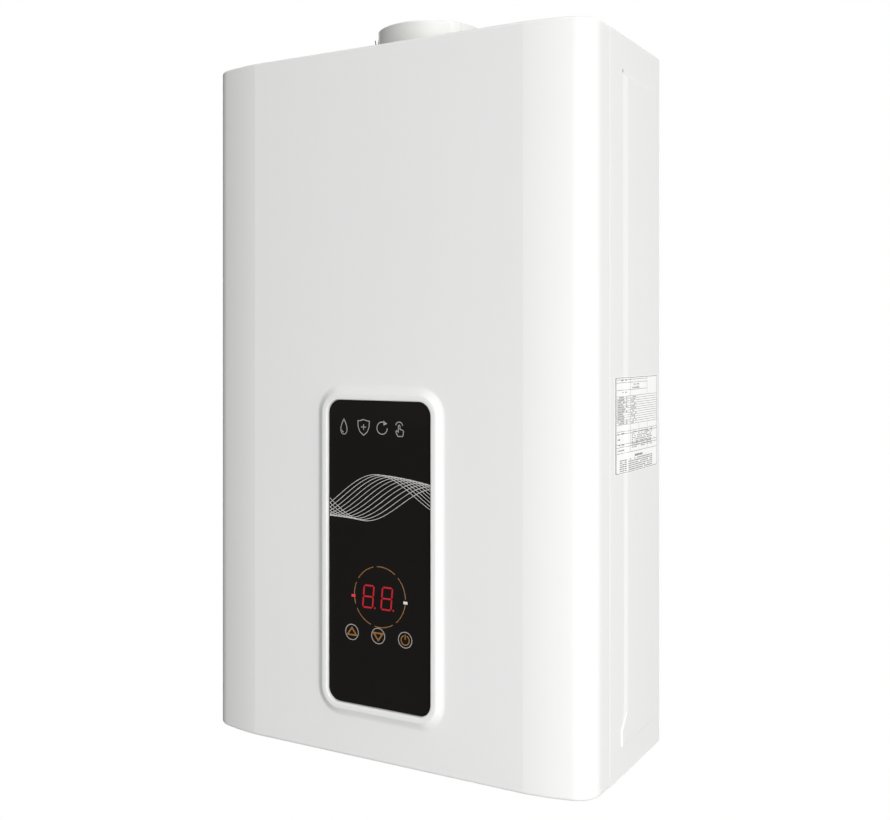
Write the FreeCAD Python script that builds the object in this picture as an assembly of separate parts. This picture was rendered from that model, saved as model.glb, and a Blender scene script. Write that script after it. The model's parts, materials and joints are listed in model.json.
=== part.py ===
import FreeCAD, Part
import math
import os

os.makedirs("parts", exist_ok=True)
Vec = FreeCAD.Vector

# Frame: origin at the middle of the wall plane, X right seen from the front, Y towards the wall, Z up.
X_AXIS = Vec(1, 0, 0)
Y_AXIS = Vec(0, 1, 0)
Z_AXIS = Vec(0, 0, 1)

# Casing
casing_width = 360.0
casing_height = 580.0
casing_depth = 160.0
sheet = 1.0
fit_gap = 0.3
flat_half = 128.0
shoulder_angle = 9.2
corner_radius = 16.0
hem_radius = 2.2
cover_side_depth = 44.0
cover_flange_depth = 30.0
seam_gap = 0.5
lip_width = 10.0
plate_flange = 14.0
hair = 0.1

# Cover screws
screw_radius = 2.0
screw_length = 8.0
screw_head_radius = 3.8
screw_head_height = 1.6
screw_drive_width = 0.8
screw_drive_depth = 0.9
screw_slot_gap = 0.6
screw_inset = 12.0

# Pressed panels on the casing sides
side_panel_height = 524.0
side_panel_rise_z = -4.0
side_panel_front = 85.0
side_panel_back = 12.0
side_panel_raise = 1.0
side_panel_slope = 1.5
side_panel_jog = 6.0

# Control window pressed in the cover
window_width = 98.0
window_height = 247.5
window_base = 44.3
window_radius = 11.0
surround_slope = 7.0
surround_rim = 4.2
surround_raise = 3.5
window_return = 3.0

# Glass, its gasket and the display behind it
glass_thickness = 3.0
glass_proud = 1.0
glass_gap = 0.3
gasket_width = 3.0
housing_wall = 1.6
housing_depth = 10.0
housing_flange = 6.0
board_thickness = 1.6
board_gap = 0.5
digits_gap = 0.2
digits_width = 36.0
digits_height = 28.0
digits_above_base = 132.5
key_spring_radius = 3.5
key_spring_wire = 1.0
key_above_base = 102.0
key_pitch = 25.7

# Rating label on the right side
label_width = 95.0
label_height = 76.0
label_shift_back = 0.5
label_middle_z = -16.0
label_thickness = 0.25

# Flue collar and draught hood
flue_bore_radius = 45.3
collar_wall = 0.8
collar_behind_front = 82.2
collar_rise = 26.4
collar_flange = 9.0
collar_seam_raise = 0.5
collar_seam_angle = -30.0
collar_seam_span = 6.0
hood_width = 236.0
hood_depth = 112.0
hood_height = 80.0
hood_window_height = 20.0
hood_window_width = 190.0
hood_skirt = 8.0
baffle_width = 130.0
baffle_depth = 70.0
baffle_rise = 44.0
baffle_tab = 12.0
baffle_tab_x = 32.0
spill_thermostat_inset = 24.0

# Disc thermostats
thermostat_radius = 8.0
thermostat_height = 6.5
thermostat_ear = 13.0
thermostat_plate = 1.2
pin_length = 6.0
pin_width = 6.3
pin_thickness = 0.8
overheat_thermostat_x = 40.0

# Heat exchanger
core_behind_front = 75.0
core_base = -22.0
core_width = 200.0
core_depth = 94.0
core_wall = 0.8
chamber_height = 140.0
fin_zone_height = 62.0
fin_height = 46.0
fin_thickness = 0.4
fin_pitch = 4.0
tube_radius = 6.0
tube_wall = 0.8
tube_bend = 10.0
pass_count = 5
pass_pitch = 17.0
pass_overrun = 14.0
coil_gap = 0.3
coil_first_rise = 42.0
coil_step = 40.0
coil_jog = 24.0
coil_end_drop = 30.0
core_corner = 6.0
coil_start_rise = 6.0
bracket_x = 55.0
bracket_width = 14.0

# Burner, manifold and electrodes
burner_height = 58.0
burner_wall = 1.0
bar_count = 12
bar_pitch = 15.2
bar_width = 8.4
bar_height = 26.0
bar_throat_radius = 5.0
bar_neck_width = 4.2
bar_neck_front = 30.0
bar_below_core = 6.0
throat_rise = 14.0
bar_wall = 0.8
bar_slot_count = 9
bar_slot_width = 1.2
bar_slot_depth = 4.0
manifold_width = 190.0
manifold_height = 14.0
manifold_depth = 10.0
manifold_bore = 3.5
manifold_ear = 6.0
nozzle_radius = 2.6
nozzle_length = 5.5
nozzle_bore = 0.5
nozzle_root = 2.5
nozzle_gap = 1.0
electrode_count = 3
electrode_pitch = 14.0
electrode_rise = 20.0
ceramic_radius = 3.2
ceramic_length = 26.0
ceramic_outside = 10.5
ceramic_shoulder = 4.0
electrode_plate_thickness = 1.2
electrode_plate_height = 14.0
electrode_tail = 4.0
electrode_dip = 12.0
electrode_radius = 1.0
electrode_reach = 14.0

# Gas valve
valve_width = 72.0
valve_depth = 56.0
valve_height = 58.0
valve_top = -132.0
valve_corner = 8.0
valve_wall = 2.0
outlet_boss_length = 6.0
valve_tower_pitch = 34.0
valve_chamber_radius = 12.0
valve_chamber_depth = 28.0
valve_seat_radius = 6.0
gallery_radius = 5.0
gallery_drop = 12.0
link_radius = 3.0
solenoid_radius = 14.5
solenoid_cap = 4.0
solenoid_tab = 8.0
plunger_radius = 5.0
plunger_clearance = 0.3
plunger_length = 52.0
plunger_plate = 1.0
disc_radius = 9.0
disc_thickness = 3.0
spring_radius = 7.2
spring_wire = 0.9
spring_turns = 5
spring_arcs = 4
shutoff_travel = 3.0
modulating_travel = 2.5

# Connections below the casing
thread_radius = 10.48
thread_length = 18.0
thread_relief = 2.0
relief_radius = 9.3
thread_bore = 7.0
hex_across = 27.0
hex_height = 8.0
pipe_hole_gap = 0.5
cold_x = 125.0
hot_x = -125.0
gas_x = 0.0
gas_pipe_radius = 6.0
gas_pipe_wall = 1.0
gas_pipe_bend = 9.0
hot_stub_height = 24.0
hot_pipe_slant = 60.0
hot_pipe_bend = 22.0
union_across = 18.0
union_height = 13.0
probe_radius = 2.5
probe_boss = 5.0
probe_tail = 6.0
filter_height = 14.0
filter_wall = 1.0
filter_holes = 8
filter_hole_radius = 0.9

# Flow sensor
sensor_radius = 15.0
sensor_height = 52.0
sensor_lift = 22.0
sensor_bore = 10.5
sensor_collar = 8.0
sensor_end = 3.0
pickup_size = 12.0
pickup_depth = 5.0
rotor_radius = 9.6
rotor_hub = 3.2
rotor_height = 14.0
rotor_blades = 6
rotor_blade = 1.0
rotor_blade_tilt = 32.0
shaft_radius = 1.5
shaft_clearance = 0.05
cage_thickness = 2.0
cage_arm = 1.2
rotor_end_play = 0.3

# Drain plug
drain_aside = 38.0
drain_radius = 8.0
drain_arm_radius = 5.0
drain_arm_bore = 3.0
drain_stem_radius = 5.5
drain_flutes = 12
drain_flute_radius = 1.2
drain_grip_radius = 10.0
drain_grip_height = 9.0

# Electronics
box_width = 92.0
box_height = 130.0
box_depth = 30.0
box_wall = 2.0
box_left = -158.0
box_above_base = 38.0
box_behind_front = 15.0
box_corner = 4.0
lid_grooves = 5
lid_groove = 3.0
lid_groove_inset = 14.0
lid_thickness = 2.0
board_transformer = (8.0, 12.0, 30.0, 28.0, 18.0)
board_relay = (50.0, 16.0, 16.0, 22.0, 14.0)
board_chip = (20.0, 62.0, 20.0, 20.0, 3.0)
board_capacitor = (60.0, 60.0, 7.0, 16.0)
igniter_width = 28.0
igniter_depth = 44.0
igniter_height = 58.0
igniter_top = -52.0
igniter_behind_front = 54.0
igniter_tower = 8.0
igniter_tower_pitch = 12.0
lead_radius = 1.3
lead_bend = 3.5
lead_rise = 6.0
lead_spacing = 8.0
lead_drop = 14.0
plug_width = 12.0
plug_depth = 7.0
gland_x = -62.0
gland_from_wall = 40.0
gland_bore = 3.6
gland_radius = 8.0
gland_thread_radius = 6.0
gland_hex = 5.0
gland_barrel = 10.0
gland_dome = 13.0

# Holes for the wall screws
wall_hole_radius = 4.0
wall_hole_across = 300.0
wall_hole_up = 520.0

# Air slots in the bottom plate
air_slot_width = 3.5
air_slot_length = 26.0
air_slot_pitch = 9.0
air_slot_count = 7
air_bank_x = 62.0

# Levels and planes worked out from the sizes above
half_w = casing_width / 2
half_h = casing_height / 2
front_y = -casing_depth
seam_y = front_y + cover_side_depth
collar_y = front_y + collar_behind_front
flange_y = front_y + cover_flange_depth
core_y = front_y + core_behind_front
core_top = core_base + chamber_height + fin_zone_height
core_front = core_y - core_depth / 2
core_back = core_y + core_depth / 2
core_right = core_width / 2
burner_base = core_base - burner_height
window_z = -half_h + window_base + window_height / 2
glass_front = front_y - glass_proud
glass_back = glass_front + glass_thickness
return_end = front_y + window_return
cover_inside = front_y + sheet
housing_back = front_y + housing_depth
hood_top = core_top + hood_height
tip_z = -half_h - thread_relief - thread_length


def save(name, shape):
    """Writes one piece, or one group of like pieces, under its own name."""
    if not shape.isValid():
        print("not valid:", name)
    shape.exportStep("parts/" + name + ".step")
    print(name, len(shape.Solids), round(shape.Volume))


def block(x0, x1, y0, y1, z0, z1):
    """A box between two corners."""
    return Part.makeBox(x1 - x0, y1 - y0, z1 - z0, Vec(x0, y0, z0))


def rod(radius, length, base, axis=Z_AXIS):
    """A round bar that starts at base."""
    return Part.makeCylinder(radius, length, base, axis)


def ring(outer, inner, length, base, axis=Z_AXIS):
    """A round tube or washer."""
    return rod(outer, length, base, axis).cut(rod(inner, length, base, axis))


def hexagon(across, height, base):
    """A hexagon of the given width across its flats, standing on base."""
    corner = across / math.sqrt(3)
    points = []
    for side in range(7):
        angle = math.radians(60 * side)
        points.append(base + Vec(corner * math.cos(angle), corner * math.sin(angle), 0))
    return Part.Face(Part.makePolygon(points)).extrude(Z_AXIS * height)


def group(shapes):
    """Like pieces that share one name and stay separate solids."""
    return Part.makeCompound(shapes)


def fused(shapes):
    """One solid made of overlapping or touching shapes."""
    return shapes[0].multiFuse(shapes[1:]).removeSplitter()


def rounded_rectangle(half_x, half_z, radius, y, middle_z):
    """A closed wire with round corners in the plane of the casing front."""
    turn = radius * math.sqrt(0.5)
    ix = half_x - radius
    iz = half_z - radius

    def point(x, z):
        return Vec(x, y, middle_z + z)

    edges = []
    for sx, sz in ((1, 1), (1, -1), (-1, -1), (-1, 1)):
        side = point(sx * half_x, sz * iz)
        diagonal = point(sx * (ix + turn), sz * (iz + turn))
        cap = point(sx * ix, sz * half_z)
        first, last = (cap, side) if sx == sz else (side, cap)
        edges.append(Part.Arc(first, diagonal, last).toShape())
        straight_end = point(sx * half_x, -sz * iz) if sx == sz else point(-sx * ix, sz * half_z)
        edges.append(Part.LineSegment(last, straight_end).toShape())
    return Part.Wire(edges)


def window_prism(inset, y0, y1):
    """The glass outline made larger or smaller all round, between two depths."""
    half_x = window_width / 2 - inset
    half_z = window_height / 2 - inset
    radius = max(window_radius - inset, 1.0)
    wire = rounded_rectangle(half_x, half_z, radius, y0, window_z)
    return Part.Face(wire).extrude(Y_AXIS * (y1 - y0))


def cover_outline(inset, back_y):
    """Plan of the cover: flat front, shoulders that fall back, round corners, straight sides."""
    angle = math.radians(shoulder_angle)
    radius = corner_radius - inset
    crease_x = flat_half - inset * math.tan(angle / 2)
    crease_y = front_y + inset
    centre_x = half_w - corner_radius
    run = (centre_x - crease_x + radius * math.sin(angle)) / math.cos(angle)
    start = Vec(crease_x + run * math.cos(angle), crease_y + run * math.sin(angle), 0)
    centre_y = start.y + radius * math.cos(angle)
    middle = math.radians(-90 + shoulder_angle) / 2
    arc_middle = Vec(centre_x + radius * math.cos(middle), centre_y + radius * math.sin(middle), 0)
    side = Vec(centre_x + radius, centre_y, 0)
    corner = Vec(centre_x + radius, back_y, 0)
    crease = Vec(crease_x, crease_y, 0)

    def mirrored(p):
        return Vec(-p.x, p.y, p.z)

    edges = [
        Part.LineSegment(mirrored(crease), crease).toShape(),
        Part.LineSegment(crease, start).toShape(),
        Part.Arc(start, arc_middle, side).toShape(),
        Part.LineSegment(side, corner).toShape(),
        Part.LineSegment(corner, mirrored(corner)).toShape(),
        Part.LineSegment(mirrored(corner), mirrored(side)).toShape(),
        Part.Arc(mirrored(side), mirrored(arc_middle), mirrored(start)).toShape(),
        Part.LineSegment(mirrored(start), mirrored(crease)).toShape(),
    ]
    return Part.Wire(edges)


def cover_solid(inset, back_y):
    """The cover's full form, with soft edges at its top and bottom."""
    wire = cover_outline(inset, back_y)
    wire.translate(Vec(0, 0, -half_h + inset))
    solid = Part.Face(wire).extrude(Z_AXIS * (casing_height - 2 * inset))
    soft = []
    for edge in solid.Edges:
        box = edge.BoundBox
        flat = box.ZLength < 0.01 and abs(abs(box.ZMin) - (half_h - inset)) < 0.01
        if flat and box.YMax < back_y + 0.01 and not (box.YLength < 0.01 and box.YMin > back_y - 0.01):
            soft.append(edge)
    return solid.makeFillet(max(hem_radius - inset, 0.6), soft)


def tube_path(points, bend):
    """Straight runs joined by arcs, for a pipe that is bent at each inner point."""
    edges = []
    here = points[0]
    for index in range(1, len(points) - 1):
        corner = points[index]
        back = (points[index - 1] - corner).normalize()
        ahead = (points[index + 1] - corner).normalize()
        half_angle = back.getAngle(ahead) / 2
        reach = bend / math.tan(half_angle)
        start = corner + back * reach
        end = corner + ahead * reach
        inward = (back + ahead).normalize()
        middle = corner + inward * (bend / math.sin(half_angle) - bend)
        if (start - here).Length > 0.001:
            edges.append(Part.LineSegment(here, start).toShape())
        edges.append(Part.Arc(start, middle, end).toShape())
        here = end
    edges.append(Part.LineSegment(here, points[-1]).toShape())
    return Part.Wire(edges)


def swept(points, radius, bend):
    """A round bar along a bent path."""
    path = tube_path(points, bend)
    direction = (points[1] - points[0]).normalize()
    profile = Part.Wire(Part.makeCircle(radius, points[0], direction))
    return path.makePipeShell([profile], True, False)


def pipe(points, radius, wall, bend):
    """A hollow pipe along a bent path."""
    return swept(points, radius, bend).cut(swept(points, radius - wall, bend))


# Casing pieces
def make_front_cover():
    """Pressed steel cover with the raised surround of the control window and turned edges."""
    shell = cover_solid(0.0, seam_y).cut(cover_solid(sheet, seam_y + sheet))
    notch_x = half_w - corner_radius
    for side in (-1, 1):
        z = side * (half_h - sheet / 2)
        shell = shell.cut(block(-notch_x, notch_x, flange_y, seam_y + sheet, z - sheet, z + sheet))
    rim = surround_rim
    foot = surround_rim + surround_slope
    outer = surround_form(foot, rim, 0.0)
    inner = surround_form(foot - sheet, rim - sheet / 2, sheet)
    crest = front_y - surround_raise
    collar = window_prism(-glass_gap - sheet, crest, return_end)
    shell = shell.fuse(outer).cut(inner).fuse(collar)
    shell = shell.cut(window_prism(-glass_gap, crest - 1, return_end + 1)).removeSplitter()
    for x in (-screw_x(), screw_x()):
        shell = shell.cut(rod(screw_radius, 4 * sheet, Vec(x, screw_y(), -half_h - sheet)))
    return shell


def surround_form(foot, rim, shift):
    """The raised surround as a filled form, moved back by shift."""
    wires = []
    for grow, y in ((foot, front_y + shift), (rim, front_y - surround_raise + shift)):
        half_x = window_width / 2 + grow
        half_z = window_height / 2 + grow
        wires.append(rounded_rectangle(half_x, half_z, window_radius + grow, y, window_z))
    form = Part.makeLoft(wires, True, True)
    if shift:
        back = window_prism(-foot, front_y + shift - hair, front_y + shift + sheet + hair)
        form = form.fuse(back)
    return form


def make_rear_casing():
    """Back and sides of the casing in one bent sheet, with a joggled lip that enters the cover."""
    inside = half_w - sheet
    lip_outer = inside - fit_gap
    lip_inner = lip_outer - sheet
    edge_y = seam_y + seam_gap
    shapes = [block(-half_w, half_w, -sheet, 0, -half_h, half_h)]
    for side in (-1, 1):
        def wall(x0, x1, y0, y1, z0, z1):
            low, high = sorted((side * x0, side * x1))
            return block(low, high, y0, y1, z0, z1)

        shapes.append(wall(inside, half_w, edge_y, 0, -half_h, half_h))
        lip_z = half_h - sheet - fit_gap - hem_radius
        shapes.append(wall(lip_inner, half_w, edge_y, edge_y + sheet, -lip_z, lip_z))
        shapes.append(wall(lip_inner, lip_outer, seam_y - lip_width, edge_y + sheet, -lip_z, lip_z))
        panel = side_panel(side, 0.0)
        shapes.append(panel)
    body = fused(shapes)
    for side in (-1, 1):
        body = body.cut(side_panel(side, sheet))
    holes = []
    for x in (-wall_hole_across / 2, wall_hole_across / 2):
        for z in (-wall_hole_up / 2, wall_hole_up / 2):
            holes.append(rod(wall_hole_radius, 3 * sheet, Vec(x, -2 * sheet, z), Y_AXIS))
    return body.cut(group(holes))


def side_panel(side, depth):
    """Raised field of a casing side, or the hollow behind it, with a stepped front edge."""
    top = side_panel_rise_z + side_panel_height / 2 - depth
    base = side_panel_rise_z - side_panel_height / 2 + depth
    front = -side_panel_front + depth
    back = -side_panel_back - depth
    jog = side_panel_jog
    outer = half_w + side_panel_raise - depth
    inner = half_w - sheet if depth == 0 else half_w - 2 * sheet
    points = [(front, top), (back, top), (back, base), (front - jog, base), (front - jog, base + 2 * jog)]
    points.append((front, base + 4 * jog))

    def wire(x, grow):
        corners = []
        for y, z in points + points[:1]:
            dy = -grow if y < (front + back) / 2 else grow
            dz = grow if z > 0 else -grow
            corners.append(Vec(side * x, y + dy, z + dz))
        return Part.makePolygon(corners)

    return Part.makeLoft([wire(inner, side_panel_slope), wire(outer, 0.0)], True, True)


def make_top_plate():
    """Plate that closes the top, flanged down at its edges, with the hole for the flue collar."""
    plate = closing_plate(1)
    reach = flue_bore_radius + collar_wall + collar_seam_raise + pipe_hole_gap
    return plate.cut(rod(reach, 4 * plate_flange, Vec(0, collar_y, half_h - 2 * plate_flange)))


def make_bottom_plate():
    """Plate that closes the bottom, with holes for the connections, the gland, the drain and the air."""
    plate = closing_plate(-1)
    base = -half_h - sheet
    holes = []
    for x in (cold_x, hot_x, gas_x):
        holes.append(rod(thread_radius + pipe_hole_gap, 4 * sheet, Vec(x, core_y, base)))
    holes.append(rod(drain_radius + pipe_hole_gap, 4 * sheet, Vec(cold_x - drain_aside, core_y, base)))
    holes.append(rod(gland_thread_radius + pipe_hole_gap, 4 * sheet, Vec(gland_x, -gland_from_wall, base)))
    y0 = flange_y + lip_width - air_slot_length / 2
    for bank in (-air_bank_x, air_bank_x):
        for index in range(air_slot_count):
            x = bank + (index - (air_slot_count - 1) / 2) * air_slot_pitch
            holes.append(block(x, x + air_slot_width, y0, y0 + air_slot_length, base, base + 4 * sheet))
    return plate.cut(group(holes))


def screw_slot(x):
    """Slot of the bottom lip, open to the front, so that a captive screw leaves with the cover."""
    radius = screw_radius + screw_slot_gap
    low = -half_h + sheet / 2
    open_end = flange_y - lip_width - 1
    straight = block(x - radius, x + radius, open_end, screw_y(), low, low + 3 * sheet)
    return straight.fuse(rod(radius, 3 * sheet, Vec(x, screw_y(), low)))


def closing_plate(up):
    """Top or bottom plate of the rear casing, with side and back flanges and a front lip."""
    half_x = half_w - sheet - fit_gap
    shapes = []

    def layer(x0, x1, y0, y1, depth0, depth1):
        low, high = sorted((up * (half_h - depth0), up * (half_h - depth1)))
        shapes.append(block(x0, x1, y0, y1, low, high))

    back_y = -sheet - fit_gap
    front_edge = flange_y + seam_gap
    notch_x = half_w - corner_radius
    side_front = seam_y + seam_gap
    flange_front = side_front + sheet + fit_gap
    layer(-half_x, half_x, side_front, back_y, 0.0, sheet)
    layer(-notch_x + fit_gap, notch_x - fit_gap, front_edge, side_front, 0.0, sheet)
    layer(-half_x, -half_x + sheet, flange_front, back_y, 0.0, plate_flange)
    layer(half_x - sheet, half_x, flange_front, back_y, 0.0, plate_flange)
    layer(-half_x, half_x, back_y - sheet, back_y, 0.0, plate_flange)
    lip_x = notch_x - hem_radius - sheet
    step = sheet + fit_gap
    layer(-lip_x, lip_x, front_edge, front_edge + sheet, 0.0, step + sheet)
    layer(-lip_x, lip_x, flange_y - lip_width, front_edge + sheet, step, step + sheet)
    plate = fused(shapes)
    if up < 0:
        for x in (-screw_x(), screw_x()):
            plate = plate.cut(screw_slot(x))
    return plate


def screw_x():
    """Distance of the cover screws from the middle."""
    return flat_half - screw_inset


def screw_y():
    """Depth of the cover screws, in the middle of the overlap of flange and lip."""
    return flange_y - lip_width / 2


def make_cover_screws():
    """Two pan-head screws that go up through the cover's bottom edge, captive in the cover."""
    screws = []
    for x in (-screw_x(), screw_x()):
        base = Vec(x, screw_y(), -half_h)
        head = rod(screw_head_radius, screw_head_height, base - Z_AXIS * screw_head_height)
        shank = rod(screw_radius, screw_length, base)
        screw = head.fuse(shank)
        reach = screw_head_radius - screw_drive_width
        half = screw_drive_width / 2
        low = -half_h - screw_head_height
        screw = screw.cut(block(x - reach, x + reach, screw_y() - half, screw_y() + half, low,
                                low + screw_drive_depth))
        screw = screw.cut(block(x - half, x + half, screw_y() - reach, screw_y() + reach, low,
                                low + screw_drive_depth))
        screws.append(screw.removeSplitter())
    return group(screws)


# Control window
def make_glass():
    """Toughened glass that fills the window, seated on its gasket."""
    return window_prism(0.0, glass_front, glass_back)


def gasket_back():
    """Depth of the shelf that carries the gasket."""
    return return_end + fit_gap


def make_gasket():
    """Foam frame between the glass and the housing."""
    return window_prism(0.0, glass_back, gasket_back()).cut(
        window_prism(gasket_width, glass_back - 1, gasket_back() + 1))


def make_housing():
    """Moulded tray that holds the glass and the display board in the cover."""
    rim = surround_rim + surround_slope + housing_flange
    flange = window_prism(-rim, cover_inside, cover_inside + housing_wall)
    around = -(glass_gap + sheet + fit_gap)
    tub = window_prism(around - housing_wall, cover_inside, housing_back)
    tray = flange.fuse(tub)
    tray = tray.cut(window_prism(around, cover_inside - 1, gasket_back()))
    return tray.cut(window_prism(gasket_width + board_gap, gasket_back() - 1, board_back_y()))


def board_back_y():
    """Rear face of the display board, against the back of the tray."""
    return housing_back - housing_wall


def board_front_y():
    """Front face of the display board."""
    return board_back_y() - board_thickness


def make_display_board():
    """Circuit board of the display, with rounded corners."""
    front = board_front_y()
    return window_prism(gasket_width + 2 * board_gap, front, front + board_thickness)


def make_display_digits():
    """Two-digit light module with a lens face, close behind the glass."""
    z = -half_h + digits_above_base
    return block(-digits_width / 2, digits_width / 2, glass_back + digits_gap, board_front_y(),
                 z - digits_height / 2, z + digits_height / 2)


def make_key_springs():
    """Three short contact springs, one behind each touch key."""
    springs = []
    for index in (-1, 0, 1):
        base = Vec(index * key_pitch, glass_back + digits_gap, -half_h + key_above_base)
        springs.append(ring(key_spring_radius, key_spring_radius - key_spring_wire,
                            board_front_y() - base.y, base, Y_AXIS))
    return group(springs)


def make_label():
    """Thin printed label in the middle of the right side, laid over the step of the pressed panel."""
    flat = half_w
    raised = half_w + side_panel_raise
    front = (seam_y - label_width) / 2 + label_shift_back
    step = -side_panel_front - hair
    line = [(flat, front), (flat, step - side_panel_slope), (raised, step), (raised, front + label_width)]
    outline = [Vec(x, y, 0) for x, y in line]
    outline += [Vec(x + label_thickness, y, 0) for x, y in reversed(line)]
    outline.append(outline[0])
    face = Part.Face(Part.makePolygon(outline))
    face.translate(Vec(0, 0, label_middle_z - label_height / 2))
    return face.extrude(Z_AXIS * label_height)


# Flue
def make_flue_collar():
    """Rolled collar that takes the flue pipe, with its lap seam and its base flange."""
    base = Vec(0, collar_y, hood_top)
    outer = flue_bore_radius + collar_wall
    length = half_h + collar_rise - hood_top
    tube = ring(outer, flue_bore_radius, length, base)
    flange = ring(outer + collar_flange, flue_bore_radius, sheet, base)
    lap = Part.makeCylinder(outer + collar_seam_raise, length, base, Z_AXIS, collar_seam_span)
    lap.rotate(base, Z_AXIS, collar_seam_angle)
    lap = lap.cut(rod(flue_bore_radius + collar_wall / 2, length, base))
    return fused([tube, flange, lap])


def make_draught_hood():
    """Steel hood over the exchanger, open at its front foot so that a down-draught can spill."""
    half_x = hood_width / 2
    back = collar_y + hood_depth / 2
    front = collar_y - hood_depth / 2
    skirt_top = core_top + hood_skirt
    shell = block(-half_x, half_x, front, back, skirt_top, hood_top)
    shell = shell.cut(block(-half_x + sheet, half_x - sheet, front + sheet, back - sheet,
                            skirt_top + sheet, hood_top - sheet))
    wall = sheet + core_wall / 2
    skirt = block(-core_right - wall, core_right + wall, core_front - wall, core_back + wall,
                  core_top - hood_skirt, skirt_top + sheet)
    shell = shell.fuse(skirt)
    shell = shell.cut(block(-core_right, core_right, core_front, core_back, core_top - 2 * hood_skirt,
                            skirt_top + 2 * sheet))
    shell = shell.cut(rod(flue_bore_radius, 4 * sheet, Vec(0, collar_y, hood_top - 2 * sheet)))
    window_low = skirt_top + 2 * sheet
    half_window = hood_window_width / 2
    spill = block(-half_window, half_window, front - 1, front + 2 * sheet, window_low,
                  window_low + hood_window_height)
    return shell.cut(spill)


def make_draught_baffle():
    """Plate below the collar that splits the rising gas from a down-draught, on two back tabs."""
    back = collar_y + hood_depth / 2 - sheet
    middle = collar_y
    z = core_top + baffle_rise
    plate = block(-baffle_width / 2, baffle_width / 2, middle - baffle_depth / 2, middle + baffle_depth / 2,
                  z, z + sheet)
    shapes = [plate]
    half = baffle_tab / 2
    for x in (-baffle_tab_x, baffle_tab_x):
        shapes.append(block(x - half, x + half, middle, back, z, z + sheet))
        shapes.append(block(x - half, x + half, back - sheet, back, z - baffle_tab, z + sheet))
    return fused(shapes)


def thermostat(x, front, z):
    """Disc thermostat with two ears and two flat pins, on a face that looks to the front."""
    ears = block(x - thermostat_ear, x + thermostat_ear, front - thermostat_plate, front,
                 z - thermostat_radius * 0.75, z + thermostat_radius * 0.75)
    can = rod(thermostat_radius, thermostat_height, Vec(x, front - thermostat_height, z), Y_AXIS)
    pins = []
    for side in (-1, 1):
        pin_x = x + side * thermostat_radius / 2
        pins.append(block(pin_x - pin_thickness / 2, pin_x + pin_thickness / 2,
                          front - thermostat_height - pin_length, front - thermostat_height + 1,
                          z - pin_width / 2, z + pin_width / 2))
    return fused([ears, can] + pins)


def make_spill_thermostat():
    """Disc thermostat on the hood that shuts the gas off when flue gas spills."""
    x = hood_width / 2 - spill_thermostat_inset
    return thermostat(x, collar_y - hood_depth / 2, hood_top - spill_thermostat_inset)


# Heat exchanger
def coil_offset():
    """Distance of the coil's centre line from the exchanger shell."""
    return tube_radius + coil_gap


def fin_z():
    """Height of the tubes through the fins."""
    return core_base + chamber_height + fin_zone_height / 2


def pass_y(index):
    """Depth of one tube pass through the fins, counted from the front."""
    return core_y + (index - (pass_count - 1) / 2) * pass_pitch


def coil_points():
    """Centre line of the heated tube: loops round the chamber, then passes through the fins."""
    side = core_right + coil_offset()
    front = core_front - coil_offset()
    back = core_back + coil_offset()
    low = core_base + coil_first_rise
    high = low + coil_step
    wide = core_right + pass_overrun
    turn_x = core_right + pass_overrun
    z = fin_z()
    points = [Vec(cold_x, core_y, coil_start_z()), Vec(cold_x, core_y, core_base - coil_jog / 2)]
    points += [Vec(side, core_y, core_base + coil_jog / 2), Vec(side, core_y, low)]
    points += [Vec(side, front, low), Vec(-side, front, low), Vec(-side, back, low)]
    points += [Vec(side, back, high), Vec(side, front, high), Vec(-side, front, high)]
    points += [Vec(-side, back, high), Vec(side, back, high + coil_step)]
    points += [Vec(wide, pass_y(0), high + coil_step), Vec(wide, pass_y(0), z)]
    for index in range(pass_count):
        end = -turn_x if index % 2 == 0 else turn_x
        points.append(Vec(end, pass_y(index), z))
        if index < pass_count - 1:
            points.append(Vec(end, pass_y(index + 1), z))
    points[-1] = Vec(hot_x, pass_y(pass_count - 1), z)
    points.append(Vec(hot_x, pass_y(pass_count - 1), coil_end_z()))
    return points


def coil_start_z():
    """Height where the cold pipe meets the heated tube."""
    return burner_base + coil_start_rise


def coil_end_z():
    """Height where the heated tube meets the hot pipe."""
    return core_base + chamber_height - coil_end_drop


def coil_bend():
    """Bend radius of the heated tube, small enough for the turns between two passes."""
    return min(tube_bend, pass_pitch / 2 - 0.05)


def make_heated_tube():
    """The one long copper tube that carries the water through the heat."""
    return pipe(coil_points(), tube_radius, tube_wall, coil_bend())


def core_prism(inset, low, high):
    """The round-cornered plan of the exchanger and the burner, between two heights."""
    solid = block(-core_right + inset, core_right - inset, core_front + inset, core_back - inset, low, high)
    upright = [edge for edge in solid.Edges if edge.BoundBox.ZLength > 1]
    return solid.makeFillet(core_corner - inset, upright)


def make_exchanger_shell():
    """Copper shell of the chamber and the fins, open above and below."""
    shell = core_prism(0.0, core_base, core_top).cut(core_prism(core_wall, core_base - 1, core_top + 1))
    for index in range(pass_count):
        hole = rod(tube_radius, core_width + 20, Vec(-core_right - 10, pass_y(index), fin_z()), X_AXIS)
        shell = shell.cut(hole)
    for x in electrode_places():
        hole = rod(ceramic_radius, 4 * core_wall, Vec(x, core_front - core_wall, electrode_z()), Y_AXIS)
        shell = shell.cut(hole)
    return shell


def make_exchanger_fins():
    """Thin copper fins side by side, each with one hole for every tube pass."""
    low = fin_z() - fin_height / 2
    fin = block(0, fin_thickness, core_front + core_wall, core_back - core_wall, low, low + fin_height)
    for index in range(pass_count):
        fin = fin.cut(rod(tube_radius, 4, Vec(-1, pass_y(index), fin_z()), X_AXIS))
    count = int((core_width - 2 * core_wall - 2 * fin_pitch) / fin_pitch)
    fins = []
    for index in range(count):
        copy = fin.copy()
        copy.translate(Vec((index - (count - 1) / 2) * fin_pitch - fin_thickness / 2, 0, 0))
        fins.append(copy)
    return group(fins)


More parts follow.
